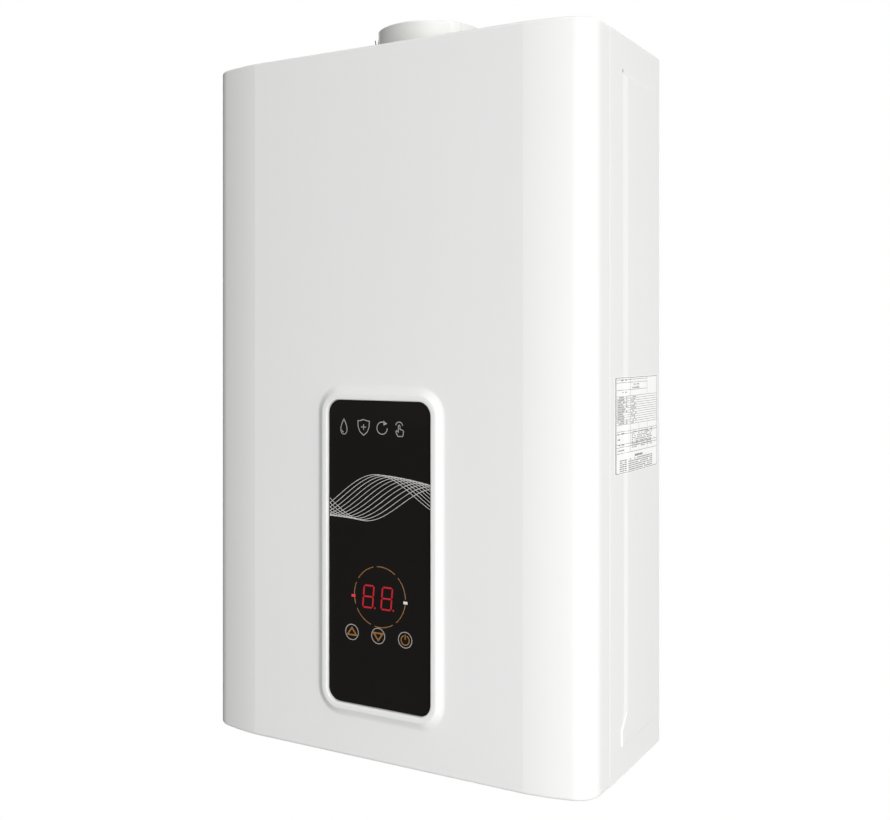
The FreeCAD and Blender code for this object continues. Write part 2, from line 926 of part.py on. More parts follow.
def make_chassis_brackets():
    """Bent plates that hold the exchanger and the burner off the back of the casing."""
    brackets = []
    for x in (-bracket_x, bracket_x):
        brackets.append(stand_off(x, fin_z(), core_back))
        brackets.append(stand_off(x, burner_base + burner_height / 2, core_back))
    return group(brackets)


def stand_off(x, z, front):
    """A Z-shaped plate from the back of the casing to a shell in front of it."""
    back = -sheet
    half = bracket_width / 2
    web = block(x - sheet / 2, x + sheet / 2, front, back, z - half, z + half)
    foot = block(x, x + bracket_width, back - sheet, back, z - half, z + half)
    head = block(x - bracket_width, x, front, front + sheet, z - half, z + half)
    return fused([web, foot, head])


def make_overheat_thermostat():
    """Disc thermostat clipped to the front of the exchanger, beside the fins."""
    return thermostat(overheat_thermostat_x, core_front, fin_z())


# Burner
def bar_places():
    """Middle of each burner bar across the burner."""
    return [(index - (bar_count - 1) / 2) * bar_pitch for index in range(bar_count)]


def throat_z():
    """Height of the mixing throats and of the nozzles."""
    return burner_base + throat_rise


def make_burner_frame():
    """Tray that carries the burner bars below the exchanger, open above and below."""
    frame = core_prism(0.0, burner_base, core_base)
    frame = frame.cut(core_prism(burner_wall, burner_base - 1, core_base + 1))
    for x in bar_places():
        frame = frame.cut(rod(bar_throat_radius, 4 * burner_wall, Vec(x, core_front - 1, throat_z()), Y_AXIS))
    return frame


def make_burner_bars():
    """Slotted sheet-steel bars, each with a mixing throat along its foot."""
    front = core_front + burner_wall
    back = core_back - burner_wall
    length = back - front
    top = core_base - bar_below_core
    base = top - bar_height
    neck_front = front + bar_neck_front
    z = throat_z()
    head = block(-bar_width / 2, bar_width / 2, front, back, base, top)
    throat = rod(bar_throat_radius, length, Vec(0, front, z), Y_AXIS)
    neck = block(-bar_neck_width / 2, bar_neck_width / 2, neck_front, back, z, base + bar_wall)
    bar = fused([head, throat, neck])
    inside_x = bar_width / 2 - bar_wall
    hollow = block(-inside_x, inside_x, front + bar_wall, back - bar_wall, base + bar_wall, top - bar_wall)
    duct_x = bar_neck_width / 2 - bar_wall
    duct = block(-duct_x, duct_x, neck_front + bar_wall, back - bar_wall, z, base + 2 * bar_wall)
    mouth = rod(bar_throat_radius - bar_wall, length - bar_wall, Vec(0, front, z), Y_AXIS)
    bar = bar.cut(mouth).cut(hollow).cut(duct)
    pitch = length / (bar_slot_count + 1)
    for index in range(bar_slot_count):
        y = front + pitch * (index + 1)
        bar = bar.cut(block(-bar_width, bar_width, y - bar_slot_width / 2, y + bar_slot_width / 2,
                            top - bar_slot_depth, top + 1))
    bars = []
    for place in bar_places():
        copy = bar.copy()
        copy.translate(Vec(place, 0, 0))
        bars.append(copy)
    return group(bars)


def manifold_back():
    """Rear face of the manifold."""
    return core_front - nozzle_length - nozzle_gap


def make_manifold():
    """Aluminium gas rail in front of the burner, with an ear at each end."""
    back = manifold_back()
    z = throat_z()
    half_height = manifold_height / 2
    rail = block(-manifold_width / 2, manifold_width / 2, back - manifold_depth, back,
                 z - half_height, z + half_height)
    for side in (-1, 1):
        x = side * (manifold_width - manifold_ear) / 2
        rail = rail.fuse(block(x - manifold_ear / 2, x + manifold_ear / 2, back - 1, core_front,
                               z - half_height, z + half_height))
    length = manifold_width - 2 * manifold_ear
    bore = rod(manifold_bore, length, Vec(-length / 2, back - manifold_depth / 2, z), X_AXIS)
    rail = rail.cut(bore)
    inlet = rod(manifold_bore, half_height, Vec(gas_x, gas_pipe_y(), z - half_height))
    rail = rail.cut(inlet)
    for x in bar_places():
        rail = rail.cut(rod(nozzle_radius, nozzle_root, Vec(x, back - nozzle_root, z), Y_AXIS))
    return rail.removeSplitter()


def make_nozzles():
    """Brass gas nozzles screwed into the manifold, one for each bar."""
    nozzles = []
    for x in bar_places():
        base = Vec(x, manifold_back() - nozzle_root, throat_z())
        body = rod(nozzle_radius, nozzle_length + nozzle_root, base, Y_AXIS)
        nozzles.append(body.cut(rod(nozzle_bore, nozzle_length + nozzle_root, base, Y_AXIS)))
    return group(nozzles)


def electrode_places():
    """Places of the two sparking electrodes and of the flame sensor across the burner."""
    return [(index - (electrode_count - 1) / 2) * electrode_pitch for index in range(electrode_count)]


def electrode_z():
    """Height of the electrodes above the burner bars."""
    return core_base + electrode_rise


def make_electrode_plate():
    """Steel plate that clamps the three ceramics to the front of the chamber."""
    half = electrode_pitch * (electrode_count + 1) / 2
    z = electrode_z()
    plate = block(-half, half, core_front - electrode_plate_thickness, core_front,
                  z - electrode_plate_height / 2, z + electrode_plate_height / 2)
    for x in electrode_places():
        plate = plate.cut(rod(ceramic_radius, 2 * electrode_plate_thickness,
                              Vec(x, core_front - electrode_plate_thickness, z), Y_AXIS))
    return plate


def make_electrode_ceramics():
    """White ceramic insulators of the electrodes, with a raised shoulder."""
    pieces = []
    for x in electrode_places():
        base = Vec(x, core_front - ceramic_outside, electrode_z())
        body = rod(ceramic_radius, ceramic_length, base, Y_AXIS)
        shoulder_y = core_front - electrode_plate_thickness - ceramic_shoulder
        shoulder = rod(ceramic_radius * 1.4, ceramic_shoulder, Vec(x, shoulder_y, electrode_z()), Y_AXIS)
        body = body.fuse(shoulder).cut(rod(electrode_radius, ceramic_length, base, Y_AXIS))
        pieces.append(body.removeSplitter())
    return group(pieces)


def make_electrode_wires():
    """Heat-proof wires of the electrodes, bent down to the flame."""
    wires = []
    for x in electrode_places():
        front = core_front - ceramic_outside - electrode_tail
        end = core_front + ceramic_length - ceramic_outside + electrode_reach
        z = electrode_z()
        bend_y = end - electrode_dip / 3
        points = [Vec(x, front, z), Vec(x, bend_y, z), Vec(x, end, z - electrode_dip)]
        wires.append(swept(points, electrode_radius, 4 * electrode_radius))
    return group(wires)


# Gas valve
def valve_y():
    """Depth of the middle of the gas valve."""
    return core_y


def tower_places():
    """Places of the shut-off tower and the modulating tower across the valve."""
    return (gas_x - valve_tower_pitch / 2, gas_x + valve_tower_pitch / 2)


def seat_z():
    """Height of both valve seats."""
    return valve_top - valve_chamber_depth


def gas_pipe_y():
    """Depth of the rising gas pipe, in line with the manifold."""
    return manifold_back() - manifold_depth / 2


def outlet_y():
    """Depth of the face where the gas leaves the valve."""
    return valve_y() - valve_depth / 2 - outlet_boss_length


def make_valve_body():
    """Die-cast body with two chambers, their seats and the gas ways between them."""
    y = valve_y()
    base = valve_top - valve_height
    front = y - valve_depth / 2
    half_x = valve_width / 2
    body = block(gas_x - half_x, gas_x + half_x, front, y + valve_depth / 2, base, valve_top)
    upright = [edge for edge in body.Edges if edge.BoundBox.ZLength > 1]
    body = body.makeFillet(valve_corner, upright)
    outlet_boss = rod(gas_pipe_radius * 1.8, outlet_boss_length, Vec(gas_x, outlet_y(), gallery_z()), Y_AXIS)
    body = body.fuse(outlet_boss)
    for x in tower_places():
        body = body.cut(rod(valve_chamber_radius, valve_chamber_depth, Vec(x, y, seat_z())))
        body = body.cut(rod(valve_seat_radius, gallery_drop, Vec(x, y, seat_z() - gallery_drop)))
    left, right = tower_places()
    turn_y = front + gallery_radius + valve_wall
    inlet = rod(gallery_radius, gas_x - left, Vec(left, y, gallery_z()), X_AXIS)
    inlet_down = rod(gallery_radius, gallery_z() - base, Vec(gas_x, y, base))
    outlet = rod(gallery_radius, y - turn_y, Vec(right, turn_y, gallery_z()), Y_AXIS)
    cross = rod(gallery_radius, right - gas_x, Vec(gas_x, turn_y, gallery_z()), X_AXIS)
    way_out = rod(gallery_radius, turn_y - outlet_y(), Vec(gas_x, outlet_y(), gallery_z()), Y_AXIS)
    link = rod(link_radius, right - left, Vec(left, y, seat_z() + disc_thickness + 2 * link_radius), X_AXIS)
    for way in (inlet, inlet_down, outlet, cross, way_out, link):
        body = body.cut(way)
    return body.removeSplitter()


def gallery_z():
    """Height of the gas ways below the seats."""
    return seat_z() - gallery_drop


def make_solenoid(index):
    """Coil in a steel can on top of the valve, with a blind bore for its plunger."""
    x = tower_places()[index]
    base = Vec(x, valve_y(), valve_top)
    travel = (shutoff_travel, modulating_travel)[index]
    depth = seat_z() + disc_thickness + plunger_length + travel + fit_gap - valve_top
    can = rod(solenoid_radius, depth + solenoid_cap, base)
    bore = rod(plunger_radius + plunger_clearance, depth, base)
    front = valve_y() - solenoid_radius
    half = solenoid_tab / 2
    tab = block(x - half, x + half, front - half, front + half, valve_top + depth - solenoid_tab,
                valve_top + depth)
    return can.fuse(tab).cut(bore).removeSplitter()


def make_plunger(index):
    """Steel plunger of one solenoid, from its sealing disc up into the coil."""
    base = Vec(tower_places()[index], valve_y(), seat_z() + disc_thickness)
    bar = rod(plunger_radius, plunger_length, base)
    return bar.fuse(rod(disc_radius, plunger_plate, base)).removeSplitter()


def make_disc(index):
    """Rubber disc that closes one valve seat."""
    return rod(disc_radius, disc_thickness, Vec(tower_places()[index], valve_y(), seat_z()))


def arc_from(start, direction, end):
    """The arc that leaves start in the given direction and ends at end."""
    chord = end - start
    inward = direction.cross(chord).cross(direction).normalize()
    radius = chord.Length ** 2 / (2 * chord.dot(inward))
    centre = start + inward * radius
    middle = centre + ((start - centre) + (end - centre)).normalize() * radius
    return Part.Arc(start, middle, end).toShape()


def helix_path(radius, rise, turns):
    """A helix about Z, made of pairs of arcs that meet smoothly."""
    edges = []
    steps = spring_arcs * turns
    slope = rise / (2 * math.pi * radius)

    def place(step):
        angle = 2 * math.pi * step / spring_arcs
        return Vec(radius * math.cos(angle), radius * math.sin(angle), rise * step / spring_arcs)

    def heading(step):
        angle = 2 * math.pi * step / spring_arcs
        return Vec(-math.sin(angle), math.cos(angle), slope).normalize()

    for step in range(steps):
        start, end = place(step), place(step + 1)
        leave, arrive = heading(step), heading(step + 1)
        chord = end - start
        along = chord.dot(leave + arrive)
        spread = 2 * (1 - leave.dot(arrive))
        reach = (math.sqrt(along * along + spread * chord.dot(chord)) - along) / spread
        joint = (start + end + (leave - arrive) * reach) / 2
        edges.append(arc_from(start, leave, joint))
        edges.append(arc_from(end, arrive * -1, joint))
    return Part.Wire(edges)


def make_spring(index):
    """Wound spring that presses one disc on its seat."""
    low = seat_z() + disc_thickness + plunger_plate + spring_wire / 2
    height = valve_top - low - spring_wire / 2
    path = helix_path(spring_radius, height / spring_turns, spring_turns)
    start = Vec(spring_radius, 0, 0)
    slope = height / spring_turns / (2 * math.pi * spring_radius)
    profile = Part.Wire(Part.makeCircle(spring_wire / 2, start, Vec(0, 1, slope)))
    spring = path.makePipeShell([profile], True, False)
    spring.translate(Vec(tower_places()[index], valve_y(), low))
    return spring


def make_gas_pipe():
    """Short pipe from the valve's outlet up to the manifold."""
    start = Vec(gas_x, outlet_y(), gallery_z())
    corner = Vec(gas_x, gas_pipe_y(), gallery_z())
    end = Vec(gas_x, gas_pipe_y(), throat_z() - manifold_height / 2)
    return pipe([start, corner, end], gas_pipe_radius, gas_pipe_wall, gas_pipe_bend)


# Connections
def make_threaded_stub(x, top):
    """Brass connection: a male thread with its relief below the plate, a hexagon on it and a tube above."""
    base = Vec(x, core_y, tip_z)
    above = Vec(x, core_y, -half_h + sheet)
    thread = rod(thread_radius, thread_length, base)
    relief = rod(relief_radius, above.z - tip_z - thread_length, base + Z_AXIS * thread_length)
    nut = hexagon(hex_across, hex_height, above)
    neck = rod(thread_radius, top - above.z, above)
    body = fused([thread, relief, nut, neck])
    return body.cut(rod(thread_bore, top - tip_z + 2, base - Z_AXIS))


def make_gas_inlet():
    """Gas connection from below the casing up to the valve body."""
    return make_threaded_stub(gas_x, valve_top - valve_height)


def sensor_base():
    """Height of the foot of the flow sensor."""
    return -half_h + sensor_lift


def drain_arm_z():
    """Height of the side arm that leads to the drain plug."""
    return -half_h + sheet + hex_height + drain_arm_radius


def make_cold_inlet():
    """Cold-water connection with a side arm for the drain plug."""
    body = make_threaded_stub(cold_x, sensor_base())
    arm_z = drain_arm_z()
    drain = Vec(cold_x - drain_aside, core_y, -half_h)
    arm = rod(drain_arm_radius, drain_aside, Vec(drain.x, core_y, arm_z), X_AXIS)
    arm_bore = rod(drain_arm_bore, drain_aside - drain_arm_bore, Vec(drain.x, core_y, arm_z), X_AXIS)
    socket = rod(drain_radius, arm_z + drain_arm_radius + sheet - drain.z, drain)
    body = fused([body, arm, socket])
    body = body.cut(arm_bore)
    body = body.cut(rod(thread_bore, sensor_base() - tip_z - sheet, Vec(cold_x, core_y, tip_z + sheet)))
    return body.cut(rod(drain_stem_radius, arm_z + drain_arm_bore - drain.z, drain))


def make_drain_plug():
    """Plug with a grip that empties the heater before frost."""
    centre = Vec(cold_x - drain_aside, core_y, -half_h)
    stem = rod(drain_stem_radius, drain_arm_z() + drain_arm_bore - fit_gap - centre.z, centre)
    grip = rod(drain_grip_radius, drain_grip_height, centre - Z_AXIS * drain_grip_height)
    plug = stem.fuse(grip)
    for index in range(drain_flutes):
        angle = 2 * math.pi * index / drain_flutes
        place = centre + Vec(drain_grip_radius * math.cos(angle), drain_grip_radius * math.sin(angle),
                             -drain_grip_height)
        plug = plug.cut(rod(drain_flute_radius, drain_grip_height - sheet, place))
    return plug.removeSplitter()


def make_inlet_filter():
    """Strainer cup in the mouth of the cold connection."""
    base = Vec(cold_x, core_y, tip_z + sheet)
    cup = ring(thread_bore, thread_bore - filter_wall, filter_height, base)
    floor_z = filter_height - filter_wall
    floor = rod(thread_bore, filter_wall, base + Z_AXIS * floor_z)
    for index in range(filter_holes):
        angle = 2 * math.pi * index / filter_holes
        reach = thread_bore * 0.55
        hole = base + Vec(reach * math.cos(angle), reach * math.sin(angle), floor_z)
        floor = floor.cut(rod(filter_hole_radius, filter_wall, hole))
    return fused([cup, floor])


def make_hot_outlet():
    """Hot-water connection up to the hot pipe, with a pocket for the temperature probe."""
    body = make_threaded_stub(hot_x, hot_stub_top())
    centre = Vec(hot_x, core_y, probe_z())
    boss = rod(probe_radius * 2, thread_radius + probe_boss, centre, X_AXIS)
    boss = boss.cut(rod(thread_bore, 4 * probe_radius, centre - Z_AXIS * 2 * probe_radius))
    pocket = rod(probe_radius, thread_radius + probe_boss, centre, X_AXIS)
    return body.fuse(boss).cut(pocket).removeSplitter()


def hot_stub_top():
    """Height of the top of the hot connection."""
    return -half_h + sheet + hex_height + hot_stub_height


def probe_z():
    """Height of the outlet temperature probe."""
    return hot_stub_top() - 4 * probe_radius


def make_outlet_thermistor():
    """Temperature probe in the hot connection."""
    start = Vec(hot_x + probe_radius, core_y, probe_z())
    return rod(probe_radius, thread_radius + probe_boss + probe_tail - probe_radius, start, X_AXIS)


def make_hot_pipe():
    """Copper pipe from the exchanger down to the hot connection."""
    last = pass_y(pass_count - 1)
    points = [Vec(hot_x, last, coil_end_z()), Vec(hot_x, last, burner_base)]
    points += [Vec(hot_x, core_y, burner_base - hot_pipe_slant), Vec(hot_x, core_y, hot_stub_top())]
    return pipe(points, tube_radius, tube_wall, hot_pipe_bend)


def make_cold_pipe():
    """Copper pipe from the flow sensor up to the exchanger."""
    top = sensor_base() + sensor_height
    return ring(tube_radius, tube_radius - tube_wall, coil_start_z() - top, Vec(cold_x, core_y, top))


def make_pipe_unions():
    """Brass union nuts that join the pipes to the exchanger and to their connections."""
    last = pass_y(pass_count - 1)
    places = [Vec(cold_x, core_y, coil_start_z() - union_height / 2)]
    places.append(Vec(hot_x, last, coil_end_z() - union_height / 2))
    places.append(Vec(cold_x, core_y, sensor_base() + sensor_height))
    places.append(Vec(hot_x, core_y, hot_stub_top()))
    unions = []
    for place in places:
        unions.append(hexagon(union_across, union_height, place).cut(rod(tube_radius, union_height, place)))
    return group(unions)


# Flow sensor
def rotor_z():
    """Foot of the turbine rotor."""
    return sensor_base() + (sensor_height - rotor_height) / 2


def make_sensor_body():
    """Body of the flow sensor, a straight bore between two collars."""
    base = Vec(cold_x, core_y, sensor_base())
    body = rod(sensor_radius - sensor_collar / 4, sensor_height, base)
    for z in (0.0, sensor_height - sensor_collar):
        body = body.fuse(rod(sensor_radius, sensor_collar, base + Z_AXIS * z))
    half = sensor_radius / 2
    flat = block(cold_x - half, cold_x + half, core_y - sensor_radius, core_y, rotor_z(),
                 rotor_z() + rotor_height)
    body = body.fuse(flat)
    body = body.cut(rod(sensor_bore, sensor_height - 2 * sensor_end, base + Z_AXIS * sensor_end))
    body = body.cut(rod(thread_bore, sensor_end, base))
    outlet = rod(tube_radius - tube_wall, sensor_end, base + Z_AXIS * (sensor_height - sensor_end))
    return body.cut(outlet).removeSplitter()


def make_turbine_cage():
    """Two three-armed spiders that hold the ends of the rotor's shaft."""
    spiders = []
    top = rotor_z() + rotor_height + rotor_end_play
    for z in (rotor_z() - rotor_end_play - cage_thickness, top):
        base = Vec(cold_x, core_y, z)
        rim = ring(sensor_bore, sensor_bore - cage_arm, cage_thickness, base)
        hub = rod(shaft_radius + cage_arm, cage_thickness, base)
        parts = [rim, hub]
        for index in range(3):
            arm = block(0, sensor_bore - cage_arm / 2, -cage_arm / 2, cage_arm / 2, 0, cage_thickness)
            arm.rotate(Vec(0, 0, 0), Z_AXIS, 120 * index)
            arm.translate(base)
            parts.append(arm)
        spiders.append(fused(parts).cut(rod(shaft_radius, cage_thickness, base)))
    return group(spiders)


def make_turbine_shaft():
    """Fixed steel shaft of the rotor, pressed into both spiders."""
    low = rotor_z() - rotor_end_play - cage_thickness
    return rod(shaft_radius, rotor_height + 2 * (rotor_end_play + cage_thickness), Vec(cold_x, core_y, low))


def make_flow_turbine():
    """Rotor with slanted blades that the passing water turns."""
    base = Vec(0, 0, 0)
    parts = [rod(rotor_hub, rotor_height, base)]
    half = rotor_blade / 2
    for index in range(rotor_blades):
        blade = block(0, rotor_radius, -half, half, -rotor_height, rotor_height)
        blade.rotate(base, X_AXIS, rotor_blade_tilt)
        blade.translate(Z_AXIS * (rotor_height / 2))
        blade.rotate(base, Z_AXIS, 360 / rotor_blades * index)
        parts.append(blade)
    rotor = fused(parts).common(rod(rotor_radius, rotor_height, base))
    rotor = rotor.cut(rod(shaft_radius + shaft_clearance, rotor_height, base))
    rotor.translate(Vec(cold_x, core_y, rotor_z()))
    return rotor


def make_hall_sensor():
    """Pick-up beside the rotor that counts its magnet, with its plug."""
    z = rotor_z() + rotor_height / 2
    front = core_y - sensor_radius
    half = pickup_size / 2
    plug = half * 0.7
    head = block(cold_x - half, cold_x + half, front - pickup_depth, front, z - half, z + half)
    socket = block(cold_x - plug, cold_x + plug, front - 2 * pickup_depth, front - pickup_depth,
                   z - plug, z + plug)
    return head.fuse(socket).removeSplitter()


# Electronics
def box_corners():
    """Lowest and highest corner of the control box."""
    low = Vec(box_left, front_y + box_behind_front, -half_h + box_above_base)
    return low, low + Vec(box_width, box_depth, box_height)


def make_control_box():
    """Moulded tray of the main control board, open to the front."""
    low, high = box_corners()
    tray = block(low.x, high.x, low.y + lid_thickness, high.y, low.z, high.z)
    edges = [edge for edge in tray.Edges if edge.BoundBox.YLength > 1]
    tray = tray.makeFillet(box_corner, edges)
    return tray.cut(block(low.x + box_wall, high.x - box_wall, low.y, high.y - box_wall,
                          low.z + box_wall, high.z - box_wall))


def make_control_lid():
    """Lid of the control box, with pressed grooves across it."""
    low, high = box_corners()
    lid = block(low.x, high.x, low.y, low.y + lid_thickness, low.z, high.z)
    edges = [edge for edge in lid.Edges if edge.BoundBox.YLength > 1]
    lid = lid.makeFillet(box_corner, edges)
    for index in range(lid_grooves):
        z = low.z + box_height * (index + 1) / (lid_grooves + 1)
        lid = lid.cut(block(low.x + lid_groove_inset, high.x - lid_groove_inset, low.y,
                            low.y + lid_thickness / 3, z - lid_groove / 2, z + lid_groove / 2))
    return lid


def make_control_board():
    """Main circuit board with its transformer, relay, controller chip and capacitor."""
    low, high = box_corners()
    back = high.y - box_wall
    front = back - board_thickness
    x0 = low.x + box_wall
    z0 = low.z + box_wall
    shapes = [block(x0, high.x - box_wall, front, back, z0, high.z - box_wall)]
    for part_x, part_z, part_width, part_height, part_depth in (board_transformer, board_relay, board_chip):
        shapes.append(block(x0 + part_x, x0 + part_x + part_width, front - part_depth, front,
                            z0 + part_z, z0 + part_z + part_height))
    cap_x, cap_z, cap_radius, cap_height = board_capacitor
    shapes.append(rod(cap_radius, cap_height, Vec(x0 + cap_x, front - cap_height, z0 + cap_z), Y_AXIS))
    return fused(shapes)


def make_control_bracket():
    """Bent plate that carries the control box off the back of the casing."""
    low, high = box_corners()
    z0 = low.z + box_height / 4
    z1 = high.z - box_height / 4
    x = low.x + box_corner
    web = block(x, x + sheet, high.y, -sheet, z0, z1)
    foot = block(x, x + bracket_width, -2 * sheet, -sheet, z0, z1)
    head = block(x, x + bracket_width, high.y, high.y + sheet, z0, z1)
    return fused([web, foot, head])


def igniter_front_y():
    """Depth of the front face of the spark unit."""
    return front_y + igniter_behind_front


def igniter_towers():
    """Feet of the two high-voltage towers on the spark unit."""
    x = -half_w + sheet + igniter_tower_pitch
    y = igniter_front_y() + igniter_tower_pitch
    return [Vec(x, y, igniter_top), Vec(x, y + igniter_tower_pitch, igniter_top)]


def make_igniter():
    """Spark unit on the left side of the casing, with two high-voltage towers."""
    x0 = -half_w + sheet
    y0 = igniter_front_y()
    body = block(x0, x0 + igniter_width, y0, y0 + igniter_depth, igniter_top - igniter_height, igniter_top)
    edges = [edge for edge in body.Edges if edge.BoundBox.XLength > 1]
    body = body.makeFillet(3 * sheet, edges)
    for tower in igniter_towers():
        body = body.fuse(rod(3 * lead_radius, igniter_tower, tower))
    return body.removeSplitter()


def make_ignition_leads():
    """High-voltage leads from the spark unit up and over to the two sparking electrodes."""
    leads = []
    end_y = core_front - ceramic_outside - electrode_tail + lead_radius / 2
    for index, tower in enumerate(igniter_towers()):
        start = tower + Z_AXIS * igniter_tower
        level = electrode_z() + lead_rise + lead_spacing * index
        run_y = core_front - ceramic_outside + lead_spacing * index / 2
        target = electrode_places()[index]
        points = [start, Vec(start.x, start.y, level), Vec(start.x, run_y, level)]
        points.append(Vec(target - lead_drop * (1.5 + index / 2), run_y, level))
        points.append(Vec(target, end_y, electrode_z() + lead_drop - lead_spacing * (1 - index) / 2))
        points.append(Vec(target, end_y, electrode_z() + electrode_radius))
        leads.append(swept(points, lead_radius, lead_bend))
    return group(leads)


def make_display_lead():
    """Lead and plug from the control box to the back of the display housing."""
    low, high = box_corners()
    z = low.z + box_height * 0.7
    plug_x = -window_width / 2 + plug_width
    half = plug_width / 2
    plug = block(plug_x - half, plug_x + half, housing_back, housing_back + plug_depth, z - half / 1.5,
                 z + half / 1.5)
    start_y = low.y + plug_width
    end_y = housing_back + plug_depth - lead_radius
    points = [Vec(high.x, start_y, z), Vec(high.x + lead_bend * 2, start_y, z)]
    points += [Vec(plug_x, end_y, z + plug_width / 2), Vec(plug_x, end_y, z)]
    return plug.fuse(swept(points, lead_radius, lead_bend / 2)).removeSplitter()


def make_cable_gland():
    """Nylon gland for the mains lead, with its hexagon below the plate and its nut above."""
    base = Vec(gland_x, -gland_from_wall, -half_h)
    barrel = rod(gland_thread_radius, gland_hex + gland_barrel, base - Z_AXIS * gland_hex)
    head = hexagon(2 * gland_radius, gland_hex, base - Z_AXIS * gland_hex)
    dome = rod(gland_radius * 0.8, gland_dome, base - Z_AXIS * gland_dome)
    nut = hexagon(2 * gland_radius, gland_hex, base + Z_AXIS * sheet)
    gland = fused([barrel, head, dome, nut])
    return gland.cut(rod(gland_bore, gland_dome + gland_barrel, base - Z_AXIS * gland_dome))


PIECES = {
    "rear_casing": make_rear_casing,
    "top_plate": make_top_plate,
    "bottom_plate": make_bottom_plate,
    "front_cover": make_front_cover,
    "cover_screws": make_cover_screws,
    "control_glass": make_glass,
    "glass_gasket": make_gasket,
    "display_housing": make_housing,
    "display_board": make_display_board,
    "display_digits": make_display_digits,
    "touch_key_springs": make_key_springs,
    "rating_label": make_label,
    "flue_collar": make_flue_collar,
    "draught_hood": make_draught_hood,
    "draught_baffle": make_draught_baffle,
    "spill_thermostat": make_spill_thermostat,
    "heated_tube": make_heated_tube,
    "exchanger_shell": make_exchanger_shell,
    "exchanger_fins": make_exchanger_fins,
    "chassis_brackets": make_chassis_brackets,
    "overheat_thermostat": make_overheat_thermostat,
    "burner_frame": make_burner_frame,
    "burner_bars": make_burner_bars,
    "gas_manifold": make_manifold,
    "gas_nozzles": make_nozzles,
    "electrode_plate": make_electrode_plate,
    "electrode_ceramics": make_electrode_ceramics,
    "electrode_wires": make_electrode_wires,
    "gas_valve_body": make_valve_body,
    "shutoff_solenoid": lambda: make_solenoid(0),
    "modulating_solenoid": lambda: make_solenoid(1),
    "shutoff_plunger": lambda: make_plunger(0),
    "modulating_plunger": lambda: make_plunger(1),
    "shutoff_disc": lambda: make_disc(0),
    "modulating_disc": lambda: make_disc(1),
    "shutoff_spring": lambda: make_spring(0),
    "modulating_spring": lambda: make_spring(1),
    "gas_pipe": make_gas_pipe,
    "gas_inlet": make_gas_inlet,
    "cold_inlet": make_cold_inlet,
    "drain_plug": make_drain_plug,
    "inlet_filter": make_inlet_filter,
    "hot_outlet": make_hot_outlet,
    "outlet_thermistor": make_outlet_thermistor,
    "hot_pipe": make_hot_pipe,
    "cold_pipe": make_cold_pipe,
    "pipe_unions": make_pipe_unions,
    "flow_sensor_body": make_sensor_body,
    "turbine_cage": make_turbine_cage,
    "turbine_shaft": make_turbine_shaft,
    "flow_turbine": make_flow_turbine,
    "hall_sensor": make_hall_sensor,
    "control_box": make_control_box,
    "control_lid": make_control_lid,
    "control_board": make_control_board,
    "control_bracket": make_control_bracket,
    "spark_unit": make_igniter,
    "ignition_leads": make_ignition_leads,
    "display_lead": make_display_lead,
    "cable_gland": make_cable_gland,
}

for piece_name, make_piece in PIECES.items():
    save(piece_name, make_piece())
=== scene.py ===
import json
import math

import bmesh
import bpy
from mathutils import Matrix, Vector

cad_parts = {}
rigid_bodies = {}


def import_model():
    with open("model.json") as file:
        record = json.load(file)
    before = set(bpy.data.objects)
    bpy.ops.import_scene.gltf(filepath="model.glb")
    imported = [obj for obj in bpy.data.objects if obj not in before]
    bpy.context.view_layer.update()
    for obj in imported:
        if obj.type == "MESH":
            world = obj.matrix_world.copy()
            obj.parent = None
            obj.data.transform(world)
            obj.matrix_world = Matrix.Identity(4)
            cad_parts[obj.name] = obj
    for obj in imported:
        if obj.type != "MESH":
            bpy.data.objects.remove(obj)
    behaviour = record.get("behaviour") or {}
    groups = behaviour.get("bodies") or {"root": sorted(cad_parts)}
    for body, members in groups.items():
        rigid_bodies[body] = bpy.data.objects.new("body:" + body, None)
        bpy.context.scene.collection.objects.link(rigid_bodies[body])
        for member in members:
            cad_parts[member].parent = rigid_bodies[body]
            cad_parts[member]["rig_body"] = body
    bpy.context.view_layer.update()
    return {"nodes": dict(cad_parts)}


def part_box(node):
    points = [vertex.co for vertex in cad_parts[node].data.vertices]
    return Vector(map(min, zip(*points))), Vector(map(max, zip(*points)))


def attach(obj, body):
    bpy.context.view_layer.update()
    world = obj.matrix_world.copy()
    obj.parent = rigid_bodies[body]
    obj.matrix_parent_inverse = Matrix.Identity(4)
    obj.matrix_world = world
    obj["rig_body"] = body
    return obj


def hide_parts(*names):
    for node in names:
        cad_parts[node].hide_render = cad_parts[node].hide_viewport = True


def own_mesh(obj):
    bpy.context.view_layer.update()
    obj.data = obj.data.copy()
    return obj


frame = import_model()
mm = 0.001


# Camera, lights and floor.
# A level camera looks at the front and the right side of the heater, which hangs free above a pale floor
# in soft white light that comes mostly from the front and the right.
def place_object(name, data):
    """A new object at the origin of the scene."""
    thing = bpy.data.objects.new(name, data)
    bpy.context.scene.collection.objects.link(thing)
    return thing


def feed(tree, node, *sources, **named):
    """Gives inputs, in order or by name, a value or a link; a node stands for its first output."""
    for entry, source in [*enumerate(sources), *named.items()]:
        if isinstance(entry, str):
            entry = entry.replace("_", " ")
        if isinstance(source, bpy.types.Node):
            source = source.outputs[0]
        if isinstance(source, bpy.types.NodeSocket):
            tree.links.new(source, node.inputs[entry])
        else:
            node.inputs[entry].default_value = source
    return node


def add_node(tree, kind, *sources, settings=None, **named):
    """A node with its properties set and its inputs fed."""
    node = tree.nodes.new(kind)
    for label, value in (settings or {}).items():
        setattr(node, label, value)
    return feed(tree, node, *sources, **named)


def white_for_camera(tree, lit, white, end):
    """Ends a tree so that the camera sees the plain white shader and the object is lit by the other."""
    seen = add_node(tree, "ShaderNodeLightPath").outputs["Is Camera Ray"]
    feed(tree, end, Surface=add_node(tree, "ShaderNodeMixShader", seen, lit, white))


